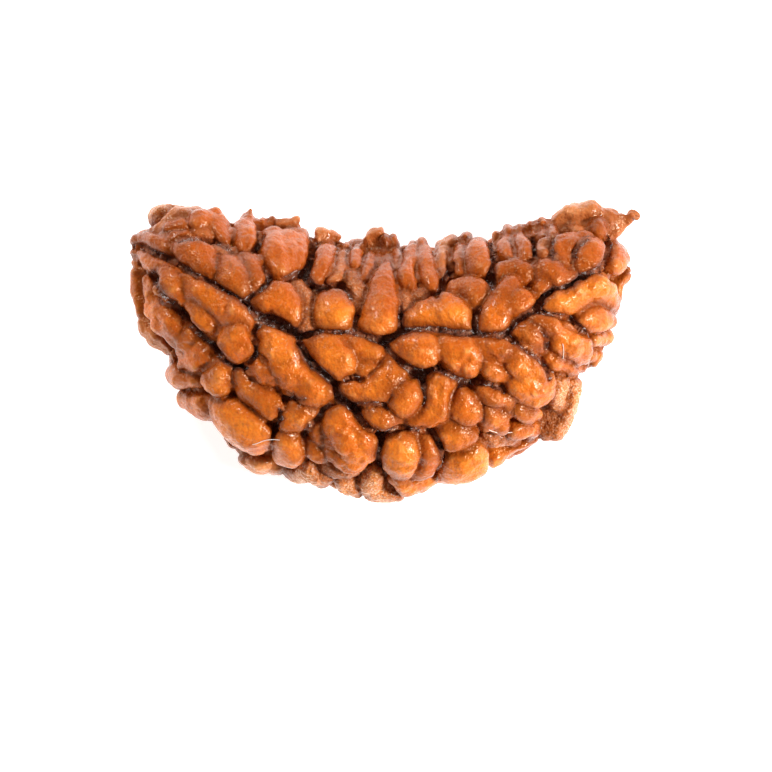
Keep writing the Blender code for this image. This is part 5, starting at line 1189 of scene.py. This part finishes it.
def build_fibres(shell, shape):
    """Short bristly fibres that lie in the dark channels."""
    mesh = shell.data
    random = np.random.RandomState(FIBRE_SEED)
    places = places_of(mesh) / MM
    normals = normals_of(mesh)
    inside = (attribute_of(mesh, "channel") > FIBRE_CHANNEL) & (attribute_of(mesh, "hollow") > 0.0)
    likely = np.nonzero(inside & (places[:, 2] > FIBRE_LOWEST))[0]
    picked = random.choice(likely, shape.fibre_count, replace=len(likely) < shape.fibre_count)
    pieces = bmesh.new()
    for index in picked:
        up = normals[index]
        along = np.cross(up, random.normal(size=3))
        along = along / np.linalg.norm(along) + up * random.uniform(*FIBRE_LEAN)
        along /= np.linalg.norm(along)
        side = np.cross(up, along)
        side /= np.linalg.norm(side)
        length = random.uniform(*FIBRE_LENGTHS) * shape.fibre_length / MM
        radius = random.uniform(*FIBRE_RADII) * shape.fibre_radius / MM
        start = places[index] + (up * FIBRE_LIFT + along * FIBRE_FORWARD) * length
        sliver(pieces, start, along, np.cross(along, side), length, radius)
    bmesh.ops.scale(pieces, vec=(MM, MM, MM), verts=pieces.verts)
    fibres = mesh_from(pieces, "groove_fibres")
    fibres.shade_smooth()
    return fibres


def build_hairs(shell, shape):
    """A few fine hairs that cling to the lobes."""
    mesh = shell.data
    faces = [face.vertices[:] for face in mesh.polygons]
    ground = BVHTree.FromPolygons([vertex.co for vertex in mesh.vertices], faces)
    lines = bpy.data.curves.new("loose_hairs", "CURVE")
    lines.dimensions = "3D"
    lines.bevel_depth = shape.hair_radius
    lines.bevel_resolution = 1
    lines.use_fill_caps = True
    middle = bpy.context.scene.bead_stage.view_centre
    for route in HAIRS:
        line = lines.splines.new("NURBS")
        line.points.add(len(route) - 1)
        for point, (x, y, lift) in zip(line.points, route):
            x, y = x * MM + middle[0], y * MM + middle[1]
            hit = ground.ray_cast(Vector((x, y, 1.0)), Vector((0.0, 0.0, -1.0)))[0]
            level = hit.z if hit else HAIR_LEVEL * MM
            point.co = (x, y, level + lift * MM, 1.0)
        line.order_u = HAIR_ORDER
        line.use_endpoint_u = True
        line.resolution_u = HAIR_STEPS
    hairs = shown_mesh(placed_object("hair_lines", lines))
    bpy.data.curves.remove(lines)
    hairs.name = "loose_hairs"
    return hairs


class Wiring:
    """Short calls that add nodes to a material or a node group and join them."""

    def __init__(self, tree):
        self.tree = tree

    def fill(self, node, inputs):
        """Link or set a node's inputs, by name or number."""
        for name, value in dict(inputs).items():
            if isinstance(value, bpy.types.NodeSocket):
                self.tree.links.new(value, node.inputs[name])
            else:
                node.inputs[name].default_value = value

    def node(self, kind, inputs=(), **settings):
        """A new node with its settings, and its inputs by name or number."""
        node = self.tree.nodes.new(kind)
        for name, value in settings.items():
            setattr(node, name, value)
        self.fill(node, inputs)
        return node

    def attribute(self, name):
        """A value that the mesh holds for each vertex."""
        return self.node("ShaderNodeAttribute", attribute_name=name).outputs["Fac"]

    def math(self, operation, first, second=0.0, third=0.0, clamp=False):
        """Values added, multiplied or the like."""
        return self.node("ShaderNodeMath", {0: first, 1: second, 2: third}, operation=operation,
                         use_clamp=clamp).outputs[0]

    def step(self, value, zero, one):
        """0 at one value and before it, 1 at another and beyond it, smooth between."""
        rising = zero < one
        ends = {"Value": value, "From Min": min(zero, one), "From Max": max(zero, one),
                "To Min": 0.0 if rising else 1.0, "To Max": 1.0 if rising else 0.0}
        return self.node("ShaderNodeMapRange", ends, interpolation_type="SMOOTHSTEP").outputs[0]

    def mix(self, share, first, second):
        """One colour over another."""
        colours = {MIX_SHARE: share, MIX_FIRST: first, MIX_SECOND: second}
        return self.node("ShaderNodeMix", colours, data_type="RGBA").outputs[MIX_RESULT]

    def use(self, group, **inputs):
        """A node group's first output, with its inputs by name."""
        node = self.tree.nodes.new("ShaderNodeGroup")
        node.node_tree = group
        self.fill(node, {name.capitalize(): value for name, value in inputs.items()})
        return node.outputs[0]


def new_group(name, output, **inputs):
    """An empty node group with named number inputs and one output."""
    group = bpy.data.node_groups.new(name, "ShaderNodeTree")
    for label, default in inputs.items():
        socket = group.interface.new_socket(
            name=label.capitalize(), in_out="INPUT", socket_type="NodeSocketFloat")
        socket.default_value = default
    group.interface.new_socket(name=output, in_out="OUTPUT", socket_type="NodeSocketFloat")
    return group


def object_place(wiring, size):
    """Object coordinates in steps of a size given in millimetres."""
    here = wiring.node("ShaderNodeTexCoord").outputs["Object"]
    finer = wiring.math("DIVIDE", 1.0 / MM, size)
    scaled = wiring.node("ShaderNodeVectorMath", {0: here, "Scale": finer}, operation="SCALE")
    return scaled.outputs[0]


def mottle_group():
    """Soft patches of a given size, from 0 to 1."""
    group = new_group("mottle", "Patches", size=1.0, detail=3.0, low=0.4, high=0.6)
    wiring = Wiring(group)
    given = wiring.node("NodeGroupInput").outputs
    noise = wiring.node("ShaderNodeTexNoise", {
        "Vector": object_place(wiring, given["Size"]), "Scale": 1.0, "Detail": given["Detail"],
        "Roughness": 0.55})
    patches = wiring.node("ShaderNodeMapRange", {
        "Value": noise.outputs["Fac"], "From Min": given["Low"], "From Max": given["High"]},
        interpolation_type="SMOOTHSTEP").outputs[0]
    wiring.node("NodeGroupOutput", {"Patches": patches})
    return group


def speck_group():
    """Small round specks at random places: 1 in their middle, 0 between them."""
    group = new_group("specks", "Specks", size=0.5, radius=0.2)
    wiring = Wiring(group)
    given = wiring.node("NodeGroupInput").outputs
    cells = wiring.node("ShaderNodeTexVoronoi", {
        "Vector": object_place(wiring, given["Size"]), "Scale": 1.0})
    share = wiring.math("DIVIDE", cells.outputs["Distance"], given["Radius"])
    specks = wiring.math("SUBTRACT", 1.0, share, clamp=True)
    wiring.node("NodeGroupOutput", {"Specks": specks})
    return group


def brow_shade_group():
    """1 on the lobes along the hollow edge, which the shell darkens as painted shade; 0 on the rest of
    the face.
    """
    group = new_group("brow", "Brow")
    wiring = Wiring(group)
    here = wiring.node("ShaderNodeTexCoord").outputs["Object"]
    flat = wiring.node(
        "ShaderNodeVectorMath", {0: here, 1: (1.0, 1.0, 0.0)}, operation="MULTIPLY").outputs[0]
    centre = (HOLLOW_CENTRE[0] * MM, HOLLOW_CENTRE[1] * MM, 0.0)
    away = wiring.node(
        "ShaderNodeVectorMath", {0: flat, 1: centre}, operation="DISTANCE").outputs["Value"]
    edge = HOLLOW_RADIUS * MM
    brow = wiring.step(away, edge + BROW_ENDS[1] * MM, edge + BROW_ENDS[0] * MM)
    wiring.node("NodeGroupOutput", {"Brow": brow})
    return group


def effects():
    """The node groups that the materials share, made once."""
    makers = {"mottle": mottle_group, "specks": speck_group, "brow": brow_shade_group}
    return {name: bpy.data.node_groups.get(name) or make() for name, make in makers.items()}


def new_material(name):
    """An empty material: its wiring, its shader and itself."""
    material = bpy.data.materials.new(name)
    material.use_nodes = True
    return Wiring(material.node_tree), material.node_tree.nodes["Principled BSDF"], material


def seed_shell_material(finish):
    """Waxy orange-brown shell with dry pale grain and dark brown channels; russet in its hollows, with
    painted shade in the broad hollows, the creases and down the lobes' sides, and painted highlight in
    honey on the crests.
    """
    wiring, shader, material = new_material("seed_shell")
    shared = effects()
    patches, flecks, stains, grain, pores = (
        wiring.use(shared["mottle"], **MOTTLES[name])
        for name in ("patches", "flecks", "stains", "grain", "pores"))
    freckles = wiring.use(shared["specks"], **FRECKLES)
    brow = wiring.use(shared["brow"])
    masks = {name: wiring.step(wiring.attribute(source), zero, one)
             for name, (source, zero, one) in MASKS.items()}
    dry = wiring.attribute("dry")
    pale = wiring.attribute("pale")
    # painted shade at the bottom of the creases and on the low floor between the lobes, lighter on pale
    # lobes
    low = wiring.math("MAXIMUM", masks["floor"], masks["cleft"])
    seam = wiring.math("MULTIPLY", wiring.attribute("channel"), masks["deep"])
    crease = wiring.mix(wiring.math("MULTIPLY", pale, PALE_LOBE_CREASE_SHADE), finish.crease, finish.rust)

    # the lobes: orange with amber patches; along the hollow edge the amber is cut back as painted shade
    tone = 0.0
    for source, share in ((patches, 0.45), (wiring.attribute("tint"), 0.5), (flecks, 0.2)):
        tone = wiring.math("MULTIPLY_ADD", source, share, tone)
    tone = wiring.math("MULTIPLY", tone, wiring.math("MULTIPLY_ADD", brow, BROW_PAINTED_SHADE, 1.0))
    colour = wiring.mix(tone, finish.orange, finish.amber)

    # what lies over it, from the lowest layer up: where, how strongly, and in which colour; among real
    # stains, freckles and dry grain are painted highlight on the crests and painted shade along the
    # hollow edge, in broad hollows, down the lobes' sides and in the creases
    colour_and_painted_light_layers = (
        # painted highlight on the crests
        (masks["crest"], 0.5, finish.honey),
        # painted shade over the lobes along the hollow edge
        (brow, 0.6, finish.rust),
        (stains, 0.5, finish.rust),
        (masks["pit"], 0.7, finish.rust),
        # painted shade in broad hollows
        (masks["dip"], 0.6, finish.rust),
        (freckles, 0.6, finish.russet),
        # the pale lobes' own paler colour, which along the outline is partly painted rim light
        (pale, 0.4, finish.salmon),
        (dry, 0.6, finish.bark),
        (dry, wiring.math("MULTIPLY", grain, 0.75), finish.tan),
        # painted shade down the sides and at the feet of the lobes
        (masks["side"], 0.75, finish.rust),
        (masks["foot"], 0.6, finish.russet),
        # painted shade in the creases
        (low, 0.85, crease),
        (seam, 1.0, finish.groove),
    )
    for mask, strength, tint in colour_and_painted_light_layers:
        colour = wiring.mix(wiring.math("MULTIPLY", mask, strength), colour, tint)

    # gloss and fine relief
    coarse = wiring.math("MAXIMUM", dry, seam)
    roughness = wiring.math("MULTIPLY_ADD", coarse, COARSE_ROUGHNESS, finish.roughness)
    roughness = wiring.math("MULTIPLY_ADD", flecks, FLECK_ROUGHNESS, roughness)
    depth = wiring.math("MULTIPLY_ADD", coarse, COARSE_BUMP, SMOOTH_BUMP)
    bump = wiring.node("ShaderNodeBump", {
        "Height": wiring.math("MULTIPLY", pores, depth), "Strength": 1.0,
        "Distance": BUMP_DEPTH * MM})
    wiring.fill(shader, {
        "Base Color": colour, "Roughness": roughness, "Normal": bump.outputs["Normal"],
        "IOR": 1.43, "Specular Tint": finish.glint, "Coat Weight": finish.wax,
        "Coat Roughness": 0.1, "Subsurface Weight": finish.glow,
        "Subsurface Radius": SCATTER_COLOURS, "Subsurface Scale": SCATTER_DEPTH * MM})
    return material


def patchy_material(name, mottle, first, second, inputs):
    """A material whose colour changes between two in soft patches."""
    wiring, shader, material = new_material(name)
    patches = wiring.use(effects()["mottle"], **MOTTLES[mottle])
    wiring.fill(shader, {"Base Color": wiring.mix(patches, first, second), **inputs})
    return material


def fibre_material(finish):
    """Dark bristly fibre with paler, silvery stretches, which are partly painted glints."""
    return patchy_material("groove_fibre", "fibre", finish.crease, finish.silver, {
        "Roughness": 0.25, "Coat Weight": 0.3})


def hair_material(finish):
    """Fine pale hair."""
    return patchy_material("loose_hair", "hair", finish.silver, finish.hair, {"Roughness": 0.35})


def stage_material(finish):
    """Plain white paper that glows a little, as in a light tent."""
    return patchy_material("white_paper", "paper", finish.paper, WHITE, {
        "Roughness": 0.9, "Emission Color": WHITE, "Emission Strength": finish.paper_glow})


def build_floor(stage):
    """A flat sheet of paper, just under the bead."""
    paper = bmesh.new()
    bmesh.ops.create_grid(
        paper, x_segments=PAPER_CELLS, y_segments=PAPER_CELLS, size=stage.floor_size / 2.0)
    bmesh.ops.translate(paper, vec=(0.0, 0.0, -PAPER_DROP * MM), verts=paper.verts)
    floor = placed_object("paper", mesh_from(paper, "paper"))
    floor.data.materials.append(stage_material(bpy.context.scene.bead_finish))


def add_light(name, place, size, power):
    """A square soft light, turned to the bead."""
    light = bpy.data.lights.new(name, "AREA")
    light.size = size
    light.energy = power
    lamp = placed_object(name, light)
    lamp.location = place
    lamp.rotation_euler = (-Vector(place)).to_track_quat("-Z", "Y").to_euler()


def set_world(stage):
    """White light from all round, weaker from straight above, where the tent is open."""
    world = bpy.data.worlds.new("tent")
    world.use_nodes = True
    wiring = Wiring(world.node_tree)
    direction = wiring.node("ShaderNodeTexCoord").outputs["Generated"]
    rise = wiring.node("ShaderNodeSeparateXYZ", {"Vector": direction}).outputs["Z"]
    opening = wiring.step(rise, *TENT_OPENING)
    strength = wiring.math("MULTIPLY_ADD", opening, stage.opening_light - stage.wall_light,
                           stage.wall_light)
    wiring.fill(world.node_tree.nodes["Background"], {"Color": WHITE, "Strength": strength})
    bpy.context.scene.world = world


def add_camera(stage):
    """A long lens straight above the face, the hollow edge up."""
    data = bpy.data.cameras.new("camera")
    data.lens = stage.lens
    camera = placed_object("camera", data)
    distance = stage.view_width * stage.lens / data.sensor_width
    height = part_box(NODE)[1][2] * SILHOUETTE_SHARE
    camera.location = (stage.view_centre[0], stage.view_centre[1], height + distance)
    data.clip_end = CLIP_DISTANCES * distance
    bpy.context.scene.camera = camera


def length_property(name, description, default):
    """A length in metres, shown in the scene's unit."""
    return bpy.props.FloatProperty(
        name=name, description=description, default=default, unit="LENGTH", precision=5)


def colour_property(name, description, default):
    """A colour with its alpha."""
    return bpy.props.FloatVectorProperty(
        name=name, description=description, default=default, subtype="COLOR", size=4,
        min=0.0, max=1.0)


def share_property(name, description, default):
    """A number from 0 to 1."""
    return bpy.props.FloatProperty(
        name=name, description=description, default=default, subtype="FACTOR", min=0.0, max=1.0)


class BeadShape(bpy.types.PropertyGroup):
    """Sizes of the bead's finer shapes."""

    groove_width: length_property("Groove width", "Gap between neighbouring lobes", 0.02 * MM)
    shoulder_blend: length_property("Shoulder rounding", "Rounding where a lobe turns down", 0.42 * MM)
    floor_blend: length_property("Foot rounding", "Rounding where a lobe meets the core", 0.16 * MM)
    triangles: bpy.props.IntProperty(
        name="Triangles", description="Triangles in the shell", default=190000, min=20000)
    fibre_count: bpy.props.IntProperty(
        name="Fibres", description="How many fibres lie in the channels", default=2600, min=0)
    fibre_length: length_property("Fibre length", "Longest fibre in the channels", 0.4 * MM)
    fibre_radius: length_property("Fibre radius", "Thickest fibre's radius", 0.024 * MM)
    hair_radius: length_property("Hair radius", "Radius of the loose hairs", 0.022 * MM)


class BeadFinish(bpy.types.PropertyGroup):
    """Colours and gloss."""

    orange: colour_property("Orange", "Body of a lobe", (0.50, 0.088, 0.007, 1.0))
    amber: colour_property("Amber", "Brighter patches of a lobe", (0.80, 0.215, 0.020, 1.0))
    # honey: painted highlight on the crests of the lobes
    honey: colour_property("Honey", "Crests", (0.95, 0.42, 0.12, 1.0))
    # rust: real stains and darker small hollows, with painted shade along the hollow edge, in broad
    # hollows and down the lobes' sides
    rust: colour_property("Rust", "Stains and shallow hollows", (0.32, 0.058, 0.005, 1.0))
    # russet: real freckles, and painted shade at the feet of the lobes
    russet: colour_property("Russet", "Deep hollows, freckles and feet", (0.16, 0.028, 0.003, 1.0))
    # salmon: the pale lobes' own colour, partly painted rim light along the outline
    salmon: colour_property("Salmon", "Pale rims", (0.75, 0.34, 0.14, 1.0))
    bark: colour_property("Bark", "Dry parts", (0.62, 0.22, 0.06, 1.0))
    tan: colour_property("Tan", "Dry grain", (0.95, 0.62, 0.40, 1.0))
    # crease: painted shade at the bottom of the creases between lobes, and the fibres' own dark colour
    crease: colour_property("Crease", "Bottom of the creases between lobes", (0.14, 0.024, 0.005, 1.0))
    groove: colour_property("Groove", "Floor of the channels", (0.22, 0.095, 0.06, 1.0))
    # silver: pale stretches of the fibres, partly painted glints; also the hairs' pale colour
    silver: colour_property("Silver", "Pale stretches of the fibres", (0.80, 0.70, 0.66, 1.0))
    hair: colour_property("Hair", "Loose hairs", (0.95, 0.78, 0.62, 1.0))
    glint: colour_property("Glint", "Tint of the reflections", (1.0, 0.68, 0.40, 1.0))
    paper: colour_property("Paper", "The paper it lies on", (0.95, 0.95, 0.95, 1.0))
    paper_glow: bpy.props.FloatProperty(
        name="Paper glow", description="Light that the paper gives", default=0.7, min=0.0)
    roughness: share_property("Roughness", "Roughness of a smooth lobe", 0.2)
    glow: share_property("Glow", "Light scattered inside the shell", 0.25)
    wax: share_property("Wax", "Clear gloss over the shell", 0.12)


class BeadStage(bpy.types.PropertyGroup):
    """Paper, lights and camera."""

    floor_size: length_property("Paper size", "Width of the sheet", 0.6)
    view_width: length_property("View width", "Width that the camera sees", 46.32 * MM)
    view_centre: bpy.props.FloatVectorProperty(
        name="View centre", description="Point under the camera", size=2, unit="LENGTH",
        default=(0.05 * MM, -2.10 * MM), precision=5)
    lens: bpy.props.FloatProperty(
        name="Lens", description="Focal length", default=250.0, unit="CAMERA")
    key_power: bpy.props.FloatProperty(
        name="Key light", description="Power of the light from the right", default=0.95, unit="POWER")
    fill_power: bpy.props.FloatProperty(
        name="Fill light", description="Power of the light from the far left", default=0.3, unit="POWER")
    wall_light: bpy.props.FloatProperty(
        name="Wall light", description="Strength of the light from all round", default=0.9)
    opening_light: bpy.props.FloatProperty(
        name="Opening light", description="Strength of the light from straight above", default=0.1)


class BEAD_OT_shell(bpy.types.Operator):
    """Model the bead's shell round its core"""

    bl_idname = "bead.shell"
    bl_label = "Shell"

    def execute(self, context):
        mesh = build_shell(context.scene.bead_shape)
        shell = shown("bead_shell", mesh, seed_shell_material(context.scene.bead_finish))
        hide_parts(NODE)
        return {"FINISHED"}


class BEAD_OT_groove_fibres(bpy.types.Operator):
    """Lay short fibres in the channels"""

    bl_idname = "bead.groove_fibres"
    bl_label = "Groove fibres"

    def execute(self, context):
        fibres = build_fibres(bpy.data.objects["bead_shell"], context.scene.bead_shape)
        shown("groove_fibres", fibres, fibre_material(context.scene.bead_finish))
        return {"FINISHED"}


class BEAD_OT_loose_hairs(bpy.types.Operator):
    """Lay a few fine hairs over the lobes"""

    bl_idname = "bead.loose_hairs"
    bl_label = "Loose hairs"

    def execute(self, context):
        hairs = build_hairs(bpy.data.objects["bead_shell"], context.scene.bead_shape)
        shown("loose_hairs", hairs, hair_material(context.scene.bead_finish))
        return {"FINISHED"}


class BEAD_OT_stage(bpy.types.Operator):
    """Lay the paper and set the lights and the camera"""

    bl_idname = "bead.stage"
    bl_label = "Stage"

    def execute(self, context):
        stage = context.scene.bead_stage
        build_floor(stage)
        set_world(stage)
        for name, (place, size) in LIGHTS.items():
            add_light(name, place, size, getattr(stage, name + "_power"))
        add_camera(stage)
        context.scene.view_settings.view_transform = "Standard"
        return {"FINISHED"}


class BEAD_PT_panel(bpy.types.Panel):
    """The bead's steps and settings"""

    bl_idname = "BEAD_PT_panel"
    bl_label = "Rudraksha Bead"
    bl_space_type = "VIEW_3D"
    bl_region_type = "UI"
    bl_category = "Bead"

    def draw(self, context):
        layout = self.layout
        for step in STEPS:
            layout.operator(step.bl_idname)
        for name in SETTINGS:
            group = getattr(context.scene, name)
            for setting in group.__annotations__:
                layout.prop(group, setting)


STEPS = (BEAD_OT_shell, BEAD_OT_groove_fibres, BEAD_OT_loose_hairs, BEAD_OT_stage)
SETTINGS = {"bead_shape": BeadShape, "bead_finish": BeadFinish, "bead_stage": BeadStage}


def register():
    for group in SETTINGS.values():
        bpy.utils.register_class(group)
    for name, group in SETTINGS.items():
        setattr(bpy.types.Scene, name, bpy.props.PointerProperty(type=group))
    for entry in STEPS + (BEAD_PT_panel,):
        bpy.utils.register_class(entry)


def unregister():
    for entry in (BEAD_PT_panel,) + STEPS:
        bpy.utils.unregister_class(entry)
    for name, group in SETTINGS.items():
        delattr(bpy.types.Scene, name)
        bpy.utils.unregister_class(group)


def main():
    register()
    bpy.ops.bead.shell()
    bpy.ops.bead.groove_fibres()
    bpy.ops.bead.loose_hairs()
    bpy.ops.bead.stage()


if __name__ == "__main__":
    main()
